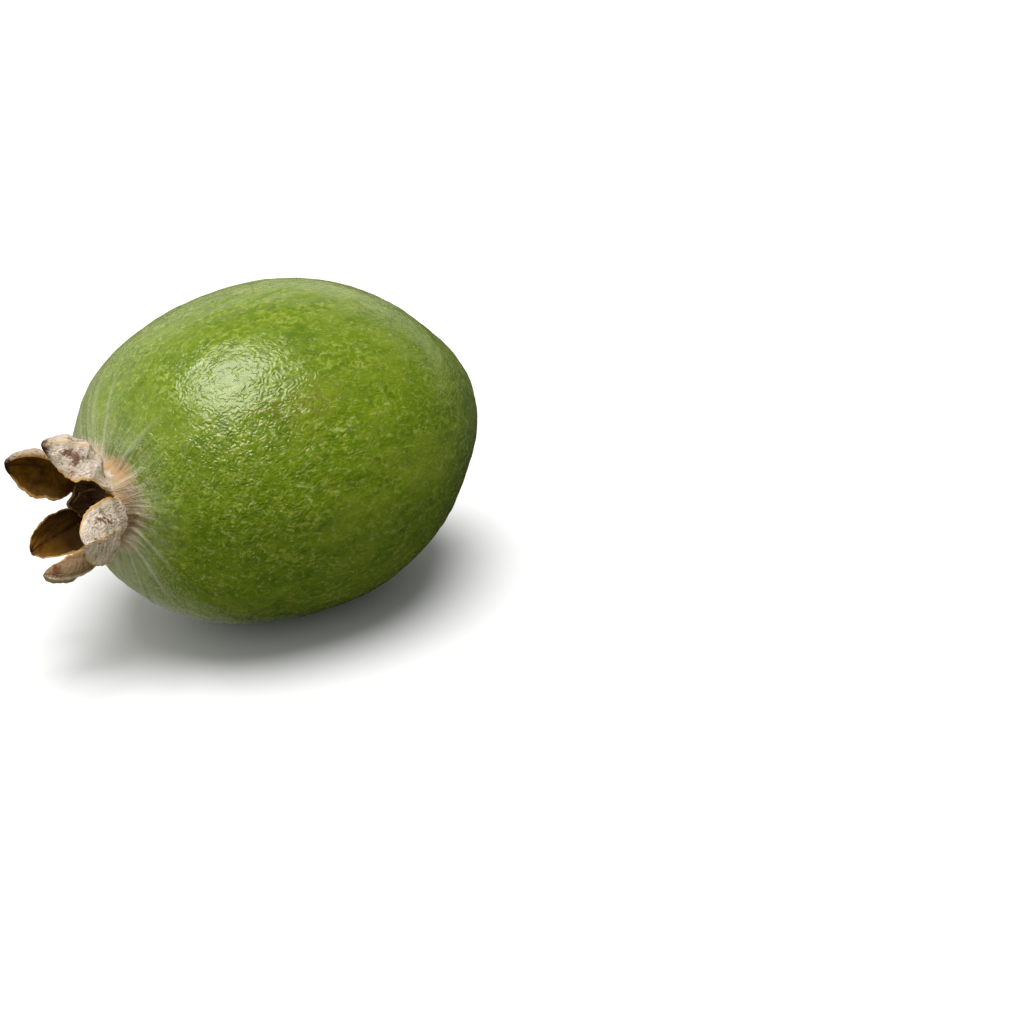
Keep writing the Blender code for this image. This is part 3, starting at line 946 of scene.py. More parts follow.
@dataclass(frozen=True)
class FruitBody:
    """The fruit with its stem scar and calyx collar.

    The radius is proportional to (1 - u^2)^power * (1 + taper * u), where u runs from -1 at
    the stem end to +1 at the calyx end. The power changes smoothly over the middle of the
    length and rounds off the stem tip. Sizes are in millimetres and bearings in degrees.
    """

    radius: float = 25.0
    stem_half: float = 32.2
    calyx_half: float = 33.0
    stem_tip_power: float = 0.5
    stem_power: float = 0.62
    calyx_power: float = 0.393
    taper: float = 0.052
    scar_radius: float = 1.9
    scar_depth: float = 0.4
    neck_start: float = 11.0
    neck_pull: float = 3.4
    rim_radius: float = 6.15
    rim_height: float = 34.1
    rim_web: float = 1.4
    web_bearings: tuple[float, ...] = (48.0, 123.0, 186.0, 253.0, 345.0)
    wall: float = 0.5
    cup_radius: float = 4.6
    cup_floor: float = 31.8
    cup_stubs: int = 44
    fold_depth: float = 0.15
    fuzzy_zone: Zone = Zone(26.0, 24.0, 1.1, 7.3, 1.6)
    earthy_zones: tuple[Zone, ...] = (Zone(92.0, 32.0, 0.9), Zone(14.0, 22.0, 0.9, 10.0, 1.8))
    # painted shade on the neck round the near sepal's foot
    foot_shade_zone: Zone = Zone(98.0, 34.0, 0.75, 6.6, 0.9)
    scuff_zone: Zone = Zone(49.0, 7.0, 1.0, 13.0, 7.0)
    coarse_zones: tuple[Zone, ...] = (
        Zone(56.0, 20.0, 0.5, 20.0, 11.0), Zone(70.0, 35.0, 0.15, 24.0, 9.0),
        Zone(28.0, 14.0, -0.18, 16.0, 11.0))
    columns: int = 384
    rows: dict[str, int] = field(default_factory=lambda: {
        "scar": 9, "skin": 150, "neck": 44, "rim": 8, "wall": 22, "floor": 14})

    def relative_radius(self, u: Array) -> Array:
        """Return the body's relative radius.

        Args:
            u: Places along its length, from -1 at the stem to 1 at the calyx.

        Returns:
            (1 - u^2)^power * (1 + taper * u), with the power stepped from end to end.
        """
        power = self.stem_power + (self.calyx_power - self.stem_power) * smooth_step(
            u, -0.7, 0.7)
        power = power + (self.stem_tip_power - self.stem_power) * smooth_step(u, -0.7, -1.0)
        return np.clip(1 - u * u, 0.0, None) ** power * (1 + self.taper * u)

    def scale(self) -> float:
        """Return the factor from relative radii to millimetres."""
        return self.radius / float(self.relative_radius(np.linspace(-1, 1, 4001)).max())

    def skin_line(self, u: Array) -> tuple[Array, Array]:
        """Return radius and height in millimetres at places u along the body."""
        height = u * np.where(u < 0, self.stem_half, self.calyx_half)
        return self.relative_radius(u) * self.scale(), height

    def place_of_radius(self, radius: float, end: int) -> float:
        """Return the u nearer the stated end, -1 or 1, where the skin has this radius."""
        u = end * np.linspace(0.5, 1.0, 4001)
        return float(np.interp(-radius, -self.skin_line(u)[0], u))

    def placement(self) -> Placement:
        """Return the placement that fits this body into its CAD node's box.

        Returns:
            The placement, from the box's far end and top, where the outline's own far end and
            top are the largest of radius * sine - height * cosine and of
            radius * cosine + height * sine of the axis's rise.
        """
        rise = math.radians(2.3)
        radius, height = self.skin_line(np.linspace(-0.999, 0.98, 4001))
        far = (radius * math.sin(rise) - height * math.cos(rise)).max() * MM
        top = (radius * math.cos(rise) + height * math.sin(rise)).max() * MM
        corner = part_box("fruit_body")[1]
        return Placement(rise, (float(corner[0]) - far, 0.0, float(corner[2]) - top))

    def rim_heights(self, bearing: Array) -> Array:
        """Return the height of the collar's rim.

        Args:
            bearing: Bearings in degrees.

        Returns:
            The rim's own height, with a web between the sepals and small ripples.
        """
        webs = sum(bell(turn_between(bearing, middle), 0.0, 12.0)
                   for middle in self.web_bearings)
        ripple = 0.08 * np.sin(np.radians(bearing) * 17 + 1.0) + 0.06 * np.sin(
            np.radians(bearing) * 31)
        return self.rim_height + self.rim_web * webs + ripple

    def outline(self, bearing: Array) -> dict[str, tuple[Array, Array]]:
        """Work out each band of the outline.

        Args:
            bearing: Bearings in degrees.

        Returns:
            For each band from the scar to the cup, radius and height over rows and bearings.
            The neck is a cubic curve that leaves the skin along its own line and arrives
            upright at the rim; the rim is a half circle, and the wall and floor a rounded cup.
        """
        flat = np.ones_like(bearing)[None, :]
        first = self.place_of_radius(self.scar_radius, -1)
        last = self.place_of_radius(self.neck_start, 1)
        stem_height = float(self.skin_line(np.array([first]))[1][0])
        share = np.linspace(0, 1, self.rows["scar"] + 1)[:-1, None]
        sunk = self.scar_depth * (1 - smooth_step(share, 0.55, 1.0))
        bands = {"scar": (share * self.scar_radius * flat, (stem_height + sunk) * flat)}

        angle = np.linspace(math.acos(-first), math.acos(-last), self.rows["skin"])
        radius, height = self.skin_line(-np.cos(angle))
        bands["skin"] = (radius[:, None] * flat, height[:, None] * flat)

        tangent = np.array([radius[-1] - radius[-2], height[-1] - height[-2]])
        tangent /= np.linalg.norm(tangent)
        top = self.rim_heights(bearing)[None, :]
        t = np.linspace(0, 1, self.rows["neck"] + 1)[1:, None]
        weights = [(1 - t) ** 3, 3 * (1 - t) ** 2 * t, 3 * (1 - t) * t * t, t ** 3]
        radii = [radius[-1], radius[-1] + self.neck_pull * tangent[0],
                 self.rim_radius + 0.1, self.rim_radius]
        heights = [height[-1], height[-1] + self.neck_pull * tangent[1], top - 2.2, top]
        bands["neck"] = (sum(w * r for w, r in zip(weights, radii)) * flat,
                         sum(w * h for w, h in zip(weights, heights)) * flat)

        turn = np.linspace(0, math.pi, self.rows["rim"] + 1)[1:, None]
        half = self.wall / 2
        bands["rim"] = (self.rim_radius - half + half * np.cos(turn) * flat,
                        top + half * np.sin(turn))
        drop = np.linspace(0, 1, self.rows["wall"] + 1)[1:, None]
        inner = self.rim_radius - self.wall
        bands["wall"] = (inner + (self.cup_radius - inner) * drop ** 1.5 * flat,
                         top + (self.cup_floor + 0.5 - top) * drop)
        around = np.linspace(0, 1, self.rows["floor"] + 1)[1:, None]
        bands["floor"] = (self.cup_radius * (1 - around) * flat,
                          self.cup_floor + 0.5 * np.clip(1 - 6 * around, 0, 1) ** 2 * flat)
        return bands

    def relief(self, radius: Array, height: Array, bearing: Array, flow: Array,
               bands: Array) -> Array:
        """Return how far the skin stands out from the smooth outline, in millimetres.

        Args:
            radius: Radius of each point.
            height: Height of each point.
            bearing: Bearing of each point, in degrees.
            flow: Place round and along the body, in millimetres.
            bands: The number of each point's band, from the scar to the floor.

        Returns:
            Broad swells, shorter dimples stretched along the body, pleats that gather towards
            the collar, the scar's lip and rough middle, and ridges and thread stubs in the
            cup, each a random field or a hump times its own depth.
        """
        place = radial(np.radians(bearing)) * radius[..., None]
        stretched = place + (0.0, 0.0, 0.4) * flow
        place[..., 2] = height
        low = height < 0
        on_skin = np.clip(smooth_step(radius, 6.3, 8.0) + low * smooth_step(radius, 1.9, 4.0),
                          0, 1)
        skin = sum(depth * WaveField(*wave).at(where) for depth, wave, where in (
            (0.05, (17.0, 3), place), (0.012, (8.0, 4), place),
            (0.022, (2.6, 5, 40), stretched), (0.012, (1.3, 6, 48), stretched)))
        around = flow * np.array([1.0, 1.0, 0.06])
        gathers = 0.5 * WaveField(22.0, 7).at(around) + 0.5 * WaveField(10.0, 8).at(around)
        near_calyx = smooth_step(height, 19.0, 31.5) * smooth_step(radius, 6.4, 9.0)
        near_stem = smooth_step(height, -24.0, -31.0) * smooth_step(radius, 1.9, 5.0)
        gathers = gathers * (0.14 * near_calyx + 0.04 * near_stem)
        scar = 0.16 * bell(radius, self.scar_radius + 0.3, 0.45)
        scar = scar + 0.08 * WaveField(0.7, 14).at(place) * smooth_step(radius, 2.0, 1.4)
        ridges = 0.07 * WaveField(3.5, 15).at(flow * np.array([1.0, 1.0, 0.15]))
        stubs = np.cos(np.radians(bearing) * self.cup_stubs + 1.5 * WaveField(9.0, 16).at(flow))
        stubs = np.clip(0.5 * stubs, 0, 1) * bell(height, self.cup_floor + 0.9, 0.5)
        in_cup = smooth_step(bands, 3.5, 4.0) * smooth_step(radius, 0.5, 2.0)
        return (on_skin * skin + self.fold_depth * self.folds(bearing, radius, height)
                + low * scar + in_cup * (ridges + stubs) + gathers)

    @staticmethod
    def folds(bearing: Array, radius: Array, height: Array) -> Array:
        """Return the sum of all the pleats' heights, outside the collar's rim."""
        total = sum(pleat.at(bearing, radius) for pleat in PLEATS)
        return total * (height > 0) * smooth_step(radius, 6.2, 7.2)

    def marks(self, radius: Array, height: Array, bearing: Array,
              bands: Array) -> dict[str, Array]:
        """Return the values that the skin's finish reads.

        Args:
            radius: Radius of each point.
            height: Height of each point.
            bearing: Bearing of each point, in degrees.
            bands: The number of each point's band, from the scar to the floor.

        Returns:
            Felt round the collar with its fuzzy and earthy parts and painted shade at the near
            sepal's foot, the pale bloom and pleats beyond it, the stem's scar, the cup's inside,
            the rim line, scuffs and how coarse the wrinkles are.
        """
        place = radial(np.radians(bearing)) * radius[..., None]
        outside = (bands <= 2) & (height > 0)
        felt_reach = np.maximum(9.8 + 1.1 * WaveField(5.0, 11).at(place), 8.0)
        fuzzy = np.maximum(self.fuzzy_zone.over(bearing, radius),
                           0.5 * WaveField(3.0, 13).at(place) - 0.3)
        earthy = sum(zone.over(bearing, radius) for zone in self.earthy_zones)
        rim = ((bands == 3) | (bands == 2)) * smooth_step(
            height - self.rim_heights(bearing), -0.35, -0.05)
        seam = SEAM.at(bearing, radius) * (radius < SEAM.reach - 0.5) * outside
        coarse = np.clip(0.45 + 0.2 * WaveField(13.0, 12).at(place), 0.2, 0.9)
        coarse = coarse + 0.2 * smooth_step(height, 5.0, 22.0) + sum(
            zone.over(bearing, height) for zone in self.coarse_zones)
        return {"felt": outside * smooth_step(radius, felt_reach, 6.5),
                "bloom": 0.45 * outside * smooth_step(radius, 15.0, 7.5),
                "cup": smooth_step(bands, 2.9, 3.1),
                "scar": (height < 0) * smooth_step(radius, 2.5, 1.8),
                "rim": np.maximum(rim, 0.7 * seam),
                "scuff": self.scuff_zone.over(bearing, height),
                "coarse": np.maximum(coarse, 0.2),
                "fuzzy": np.clip(fuzzy, 0, 1), "earthy": np.clip(earthy, 0, 1),
                # painted shade where the near sepal's foot meets the neck
                "foot": outside * self.foot_shade_zone.over(bearing, radius),
                "pleat": np.clip(self.folds(bearing, radius, height), 0, 1)}

    def build(self, placement: Placement, material: bpy.types.Material) -> bpy.types.Object:
        """Build the fruit.

        Args:
            placement: Where the fruit lies.
            material: The skin's finish.

        Returns:
            The object, whose lowest points are pressed flat on the ground.
        """
        turn = np.linspace(0, 360.0, self.columns, endpoint=False)
        outline = self.outline(turn).values()
        radius = np.vstack([np.broadcast_to(band[0], band[1].shape) for band in outline])
        height = np.vstack([band[1] for band in outline])
        bands = np.vstack([np.full_like(band[1], number) for number, band in enumerate(outline)])
        bearing = np.broadcast_to(turn[None, :], radius.shape)
        steps = np.hypot(np.diff(radius.mean(axis=1)), np.diff(height.mean(axis=1)))
        along = np.concatenate([[0.0], np.cumsum(steps)])[:, None]
        out = radial(np.radians(bearing))
        flow, grain, points = out * self.radius, out * radius[..., None], out * radius[..., None]
        flow[..., 2] = grain[..., 2] = along
        points[..., 2] = height
        normals = grid_normals(points, closed=True)
        normals[0] = (0.0, 0.0, -1.0)
        points = points + normals * self.relief(radius, height, bearing, flow, bands)[..., None]

        marks = self.marks(radius, height, bearing, bands) | {"flow": flow, "grain": grain}
        keep = slice(self.columns - 1, radius.size - self.columns + 1)
        places = placement.to_model(points.reshape(-1, 3)[keep])
        places[:, 2] = np.maximum(places[:, 2], 0.0)
        marks = {name: values.reshape(radius.size, -1)[keep].squeeze()
                 for name, values in marks.items()}
        return add_mesh("fruit", places, poled_faces(len(radius) - 2, self.columns), material,
                        marks)


# --- Sepals --------------------------------------------------------------------------------


@dataclass(frozen=True)
class Stain:
    """A dark patch on a sepal's outer face, in shares of its length and half width."""

    along: float
    across: float
    length: float
    width: float
    strength: float = 1.0


@dataclass(frozen=True)
class Sepal:
    """One spoon-shaped lobe along a bent middle line. Angles are in degrees.

    The middle line starts at the foot, which is a height and a radius, and its lean from the
    axis, its swing to the side and its twist are polynomials of the share of its length.
    Across it, each flank slopes inwards by keel + curl * |v| + roll at the margin, where v
    runs from -1 to 1. The parts of curl are for the left flank, for the right flank, and for
    both towards the tip; roll and the tan, which is partly painted shade, have one part for
    each flank.
    """

    name: str
    seed: int
    bearing: float
    foot: tuple[float, float]
    length: float
    width: float
    lean: tuple[float, float, float]
    swing: tuple[float, float]
    twist: tuple[float, float]
    keel: float
    curl: tuple[float, float, float]
    base: float
    widest: float
    tip_power: float
    roll: tuple[float, float] = (0.0, 0.0)
    uneven: float = 0.0
    # share of a tan on each flank, partly painted shade
    tan_and_shade: tuple[float, float] = (0.1, 0.1)
    keel_line: float = 0.3
    # how much painted shade the inner face gets towards the foot
    inner_shade: float = 0.3
    dark_tip: float = 1.0
    stains: tuple[Stain, ...] = ()
    thickness: float = 0.55
    root: float = 0.11
    ring_radius: float = 5.95
    rows: int = 110
    columns: int = 61

    def directions(self, s: Array) -> tuple[Array, Array, Array]:
        """Return the directions along the middle line.

        Args:
            s: Shares of the length.

        Returns:
            Its heading, its sideways direction and its inward direction.
        """
        bearing = np.array(math.radians(self.bearing))
        out, side = radial(bearing), sideways(bearing)
        axis = np.array([0.0, 0.0, 1.0])
        lean, swing, twist = (np.radians(np.polyval(angles[::-1], s))[:, None]
                              for angles in (self.lean, self.swing, self.twist))
        heading = np.cos(swing) * (np.cos(lean) * axis + np.sin(lean) * out)
        heading = heading + np.sin(swing) * side
        flat = unit(side - (heading @ side)[:, None] * heading)
        inward = np.cross(flat, heading)
        across = np.cos(twist) * flat + np.sin(twist) * inward
        return heading, across, np.cos(twist) * inward - np.sin(twist) * flat

    def half_width(self, s: Array, v: Array) -> Array:
        """Return half the width over the grid.

        Args:
            s: Shares of the length.
            v: Shares of the half width.

        Returns:
            A parabola up to the widest place, then a power of another one to the tip, with
            margins made ragged by random waves.
        """
        swell = 1 - (1 - self.base) * ((self.widest - s) / self.widest) ** 2
        taper = np.clip(1 - ((s - self.widest) / (1 - self.widest)) ** 2, 0, 1)
        shape = np.where(s < self.widest, swell, taper ** self.tip_power)[:, None]
        place = np.stack([np.broadcast_to(s[:, None] * self.length, (len(s), len(v))),
                          np.broadcast_to(4.0 * np.sign(v)[None, :], (len(s), len(v))),
                          np.zeros((len(s), len(v)))], axis=-1)
        ragged = 0.022 * WaveField(2.4, self.seed).at(place) + 0.012 * WaveField(
            0.9, self.seed + 1).at(place)
        ragged = ragged * smooth_step(np.abs(v), 0.3, 1.0)[None, :]
        uneven = 1 + self.uneven * np.sign(v)[None, :]
        return self.width / 2 * shape * uneven * (1 + ragged)

    def middle_surface(self, s: Array, v: Array) -> Array:
        """Work out the sepal's middle surface.

        Args:
            s: Shares of the length, from below 0 in the root to 1 at the tip.
            v: Shares of the half width, from -1 to 1.

        Returns:
            The grid of points. Near the foot it passes smoothly into the collar's ring.
        """
        clipped = np.clip(s, 0.0, 1.0)
        heading, across, inward = self.directions(clipped)
        bearing = np.array(math.radians(self.bearing))
        line = running_sum(heading * self.length, clipped, axis=0)
        line = line + np.array([0.0, 0.0, self.foot[0]]) + radial(bearing) * self.foot[1]
        left, right, at_tip = self.curl
        size = np.abs(v)[None, :]
        roll = np.where(v < 0, *self.roll)[None, :] * smooth_step(size, 0.7, 1.0)
        slope = np.where(v < 0, left, right)[None, :] + at_tip * clipped[:, None]
        angle = np.radians(self.keel + slope * size
                           + roll * np.clip(4 * clipped, 0, 1)[:, None])
        middle = len(v) // 2
        out_part = running_sum(np.cos(angle), v, axis=1)
        in_part = running_sum(np.sin(angle) * np.sign(v)[None, :], v, axis=1)
        out_part = out_part - out_part[:, middle:middle + 1]
        in_part = in_part - in_part[:, middle:middle + 1]
        reach = self.half_width(clipped, v)
        points = (line[:, None] + across[:, None] * (reach * out_part)[..., None]
                  + inward[:, None] * (reach * in_part)[..., None])
        turn = bearing + reach * out_part / self.ring_radius
        ring = radial(turn) * self.ring_radius
        ring[..., 2] = self.foot[0] + (s * self.length)[:, None]
        blend = smooth_step(s, 0.0, 0.3)[:, None, None]
        return ring * (1 - blend) + points * blend

    def marks(self, inside: Array, s: Array, v: Array, flow: Array) -> dict[str, Array]:
        """Return the values that the sepals' finish reads.

        Args:
            inside: Share of the inner face, 0 or 1.
            s: Share of the length.
            v: Share of the half width, -1 to 1.
            flow: Place along and across, in millimetres.

        Returns:
            The margin, tip, midrib and keel line, the share of tan that is partly painted shade,
            the share of painted shade inside towards the foot, and the stains, each a bell along
            and across.
        """
        stain = sum((spot.strength * bell(s, spot.along, spot.length)
                     * bell(v, spot.across, spot.width) for spot in self.stains),
                    np.zeros_like(s))
        return {"inside": inside, "edge": np.abs(v), "tip": np.clip(s, 0, 1) * self.dark_tip,
                # tan on each flank, partly painted shade
                "tan_and_shade": np.where(v < 0, *self.tan_and_shade) * smooth_step(np.abs(v), 0.02, 0.1),
                # painted shade on the inner face, full up to 0.3 of the length and gone at the tip
                "inner_shade": self.inner_shade * smooth_step(s, 1.0, 0.3), "stain": stain, "flow": flow,
                "keel": (self.keel_line * bell(v, 0.0, 0.035) * smooth_step(s, 0.15, 0.4)
                         * (1 - inside)),
                "midrib": bell(v, 0.0, 0.03) * smooth_step(s, 0.1, 0.4)}

    def faces(self, columns: int) -> list[tuple[int, ...]]:
        """Return the shell's faces.

        Args:
            columns: How many points a ring has.

        Returns:
            The quads between rings, the foot's cap, and the triangles round the tip's point.
        """
        last = (self.rows - 1) * columns
        near = np.arange(self.columns - 1)
        cap = np.stack([near, near + 1, (columns - near - 1) % columns,
                        (columns - near) % columns], axis=-1)
        return (ring_faces(self.rows - 1, columns)
                + [tuple(dict.fromkeys(face)) for face in cap.tolist()]
                + fan_faces(last, last - columns, columns, flip=False))

    def build(self, placement: Placement, material: bpy.types.Material) -> bpy.types.Object:
        """Build the sepal as a closed shell.

        Args:
            placement: Where the fruit lies.
            material: The sepals' finish.

        Returns:
            The object. Each row is a ring that goes out along the outer face and back along
            the inner face, and the wall thins towards the margins and the tip.
        """
        share = np.linspace(0, 1, self.rows)
        s = -self.root + (1 + self.root) * (1 - (1 - share) ** 1.5)
        v = np.sin(np.linspace(-1, 1, self.columns) * math.pi / 2)
        points = self.middle_surface(s, v)
        inward = grid_normals(points, closed=False)
        guide = self.directions(np.clip(s, 0, 1))[2]
        inward *= np.sign((inward[:, self.columns // 2] * guide).sum(axis=-1))[:, None, None]
        inward[-1] = inward[-2]
        round_off = np.sqrt(1 - v ** 12)[None, :] * np.sqrt(
            1 - np.clip(s, 0, 1) ** 30)[:, None]
        half = self.thickness / 2 * (0.5 + 0.5 * (1 - v ** 2))[None, :]
        flow = np.stack(np.broadcast_arrays(
            v[None, :] * self.width / 2, 40.0 + 10.0 * self.seed,
            s[:, None] * self.length), axis=-1)
        lumps = 0.10 * WaveField(3.2, self.seed + 2).at(points) + 0.035 * WaveField(
            1.1, self.seed + 3).at(points)
        lumps = lumps * smooth_step(s, 0.0, 0.2)[:, None]
        veins = 0.05 * WaveField(1.4, self.seed + 4).at(flow * np.array([1.0, 1.0, 0.1]))
        crease = 0.12 * bell(v, 0.0, 0.07)[None, :] * smooth_step(s, 0.05, 0.3)[:, None]
        outer = (lumps - half - crease - 0.3 * veins) * round_off
        inner = (lumps + half - crease + veins) * round_off
        outer, inner = (points + inward * depth[..., None] for depth in (outer, inner))

        back = slice(-2, 0, -1)
        ring = np.concatenate([outer, inner[:, back]], axis=1)
        across, along = np.broadcast_arrays(np.concatenate([v, v[back]])[None, :], s[:, None])
        inside = np.broadcast_to(np.arange(ring.shape[1]) >= self.columns, across.shape)
        marks = self.marks(inside.astype(float), along, across,
                           np.concatenate([flow, flow[:, back]], axis=1))
        kept = inside.size - ring.shape[1] + 1
        marks = {name: values.reshape(inside.size, -1)[:kept].squeeze()
                 for name, values in marks.items()}
        return add_mesh(f"{self.name}_lobe", placement.to_model(ring.reshape(-1, 3)[:kept]),
                        self.faces(ring.shape[1]), material, marks)


# the flank tan is partly painted shade, strongest on the lower sepal
SEPALS = (
    Sepal("sepal_upper", 20, 25.9, (33.8, 6.22), 12.4, 9.96, (68.8, -69.7, -38.9),
          (-23.5, -3.0), (19.6, -2.1), 12.0, (90.0, -4.0, 44.7), 0.42, 0.51, 0.456,
          tan_and_shade=(0.15, 0.0), keel_line=0.6,
          stains=(Stain(0.70, 0.30, 0.07, 0.16), Stain(0.60, 0.42, 0.05, 0.2, 0.9),
                  Stain(0.50, 0.3, 0.14, 0.35, 0.5))),
    Sepal("sepal_near", 30, 98.4, (33.8, 6.3), 11.6, 9.68, (35.7, -23.2, 1.4),
          (-14.3, 5.3), (-10.4, -26.6), 8.0, (-17.0, 10.0, 59.0), 0.84, 0.43, 0.553,
          tan_and_shade=(0.0, 0.0), keel_line=0.8, dark_tip=0.88,
          stains=(Stain(0.6, -0.5, 0.13, 0.22, 0.62), Stain(0.42, -0.4, 0.1, 0.3, 0.55))),
    Sepal("sepal_lower", 40, 148.4, (35.0, 6.17), 11.6, 6.94, (36.1, -43.3, -30.7),
          (3.2, 0.5), (-15.0, -39.3), 6.5, (46.0, 88.6, 17.6), 0.656, 0.369, 0.545,
          tan_and_shade=(1.0, 0.85), dark_tip=0.93,
          stains=(Stain(0.86, -0.55, 0.09, 0.4),)),
    # the far low sepal has the most painted shade inside
    Sepal("sepal_far_low", 50, 223.1, (34.1, 5.78), 8.8, 7.83, (24.1, 16.5, 17.0),
          (-4.4, 6.5), (1.7, -30.1), 3.1, (10.7, 79.6, 20.2), 0.907, 0.271, 0.658,
          inner_shade=0.85),
    Sepal("sepal_far_up", 60, 305.5, (34.5, 5.3), 10.53, 10.5, (48.1, 12.3, -51.5),
          (-12.7, 0.0), (-0.9, -24.9), 2.0, (58.3, 39.7, 26.9), 0.95, 0.529, 0.569,
          roll=(0.0, 122.0), uneven=0.07, tan_and_shade=(0.1, 0.5)),
)


# --- Style stub and threads ----------------------------------------------------------------


@dataclass(frozen=True)
class StyleStub:
    """The dried foot of the style in the middle of the cup, lumpy and slightly crooked."""

    floor: float = 31.6
    outline: tuple[tuple[float, float], ...] = (
        (0.0, 0.0), (1.0, 0.05), (0.95, 0.3), (0.8, 0.7), (0.5, 1.15), (0.38, 1.7),
        (0.40, 2.2), (0.5, 2.55), (0.42, 2.8), (0.2, 2.9), (0.0, 2.92))
    tall: float = 2.9
    bend: float = 0.12
    roughness: float = 0.10
    rows: int = 60
    columns: int = 40

    def build(self, placement: Placement, material: bpy.types.Material) -> bpy.types.Object:
        """Build the stub.

        Args:
            placement: Where the fruit lies.
            material: The threads' finish.

        Returns:
            The object: the smoothed outline turned round the axis, its radii times random
            waves, bent to the side by the square of the height.
        """
        knots = np.array(self.outline)
        share = np.linspace(0, len(knots) - 1, self.rows)
        radius, height = (np.interp(share, np.arange(len(knots)), knots[:, k])
                          for k in range(2))
        for _ in range(3):
            for line in (radius, height):
                line[1:-1] = np.convolve(line, (0.25, 0.5, 0.25), "same")[1:-1]
        turn = np.linspace(0, 2 * math.pi, self.columns, endpoint=False)
        points = radial(turn)[None] * radius[:, None, None]
        points[..., 2] = height[:, None]
        lumps = WaveField(0.9, 80).at(points * np.array([1.0, 1.0, 0.3]))
        points[..., :2] *= (1 + self.roughness * lumps)[..., None]
        points[..., 0] += self.bend * ((height / self.tall) ** 2)[:, None]
        points[..., 2] += self.floor
        places = np.vstack([points[0].mean(axis=0), points[1:-1].reshape(-1, 3),
                            points[-1].mean(axis=0)])
        tip = np.clip((places[:, 2] - self.floor) / self.tall, 0, 1)
        return add_mesh("style", placement.to_model(places),
                        poled_faces(self.rows - 2, self.columns), material,
                        {"tip": tip, "flow": places})


@dataclass(frozen=True)
class Thread:
    """A dried stamen thread: a tapering tube along a smooth curve through its points.

    Each knot is a bearing in degrees, a radius and a height.
    """

    name: str
    knots: tuple[tuple[float, float, float], ...]
    seed: int
    radius: float = 0.17
    rows: int = 40
    columns: int = 10

    def build(self, placement: Placement, material: bpy.types.Material) -> bpy.types.Object:
        """Build the thread.

        Args:
            placement: Where the fruit lies.
            material: The threads' finish.

        Returns:
            The object: a round section carried along a polynomial through the knots, bent,
            swelled and thinned by random waves.
        """
        knots = np.array(self.knots)
        places = radial(np.radians(knots[:, 0])) * knots[:, 1:2]
        places[:, 2] = knots[:, 2]
        chord = np.concatenate([[0], np.cumsum(np.linalg.norm(np.diff(places, axis=0),
                                                              axis=1))])
        t = np.linspace(0, 1, self.rows)
        zero = np.zeros_like(t)
        powers = np.polynomial.polynomial.polyvander
        fit = np.linalg.lstsq(powers(chord / chord[-1], len(knots) - 1), places, rcond=None)[0]
        line = powers(t, len(knots) - 1) @ fit
        wobble = np.stack([WaveField(0.25, self.seed + k).at(np.stack([t, zero, zero], -1))
                           for k in range(3)], axis=-1)
        line = line + 0.05 * wobble * smooth_step(t, 0.1, 0.4)[:, None]
        heading = unit(np.gradient(line, axis=0))
        side = unit(np.cross(heading, np.array([0.3, 0.2, 1.0])))
        up = np.cross(heading, side)
        turn = np.linspace(0, 2 * math.pi, self.columns, endpoint=False)
        thick = self.radius * (1 - 0.35 * t) * (1 + 0.12 * wobble[:, 0])
        thick[0] = thick[-1] = 0.02
        section = (np.cos(turn)[None, :, None] * side[:, None]
                   - np.sin(turn)[None, :, None] * up[:, None])
        points = line[:, None] + section * thick[:, None, None]
        flow = np.stack(np.broadcast_arrays(
            np.cos(turn)[None, :] * self.radius, np.sin(turn)[None, :] * self.radius,
            (t * chord[-1])[:, None]), axis=-1)
        size = self.rows * self.columns
        faces = ring_faces(self.rows, self.columns)
        faces.append(tuple(range(self.columns)))
        faces.append(tuple(range(size - self.columns, size))[::-1])
        tip = np.broadcast_to(t[:, None], flow.shape[:2]).ravel()
        return add_mesh(self.name, placement.to_model(points.reshape(-1, 3)), faces, material,
                        {"tip": tip, "flow": flow.reshape(-1, 3)})


THREADS = (
    Thread("thread_1", ((52, 3.6, 32.2), (48, 4.5, 34.4), (41, 5.8, 35.8), (31, 6.0, 36.2)), 90),
    Thread("thread_2", ((67, 3.5, 32.2), (62, 4.5, 34.4), (55, 5.6, 35.9), (48, 6.1, 36.9)), 94),
    Thread("thread_3", ((196, 3.6, 32.2), (205, 4.3, 34.3), (216, 3.9, 36.4)), 98),
    Thread("thread_4", ((282, 3.5, 32.2), (276, 3.9, 34.6), (262, 3.2, 36.2)), 102),
)


# --- Studio --------------------------------------------------------------------------------


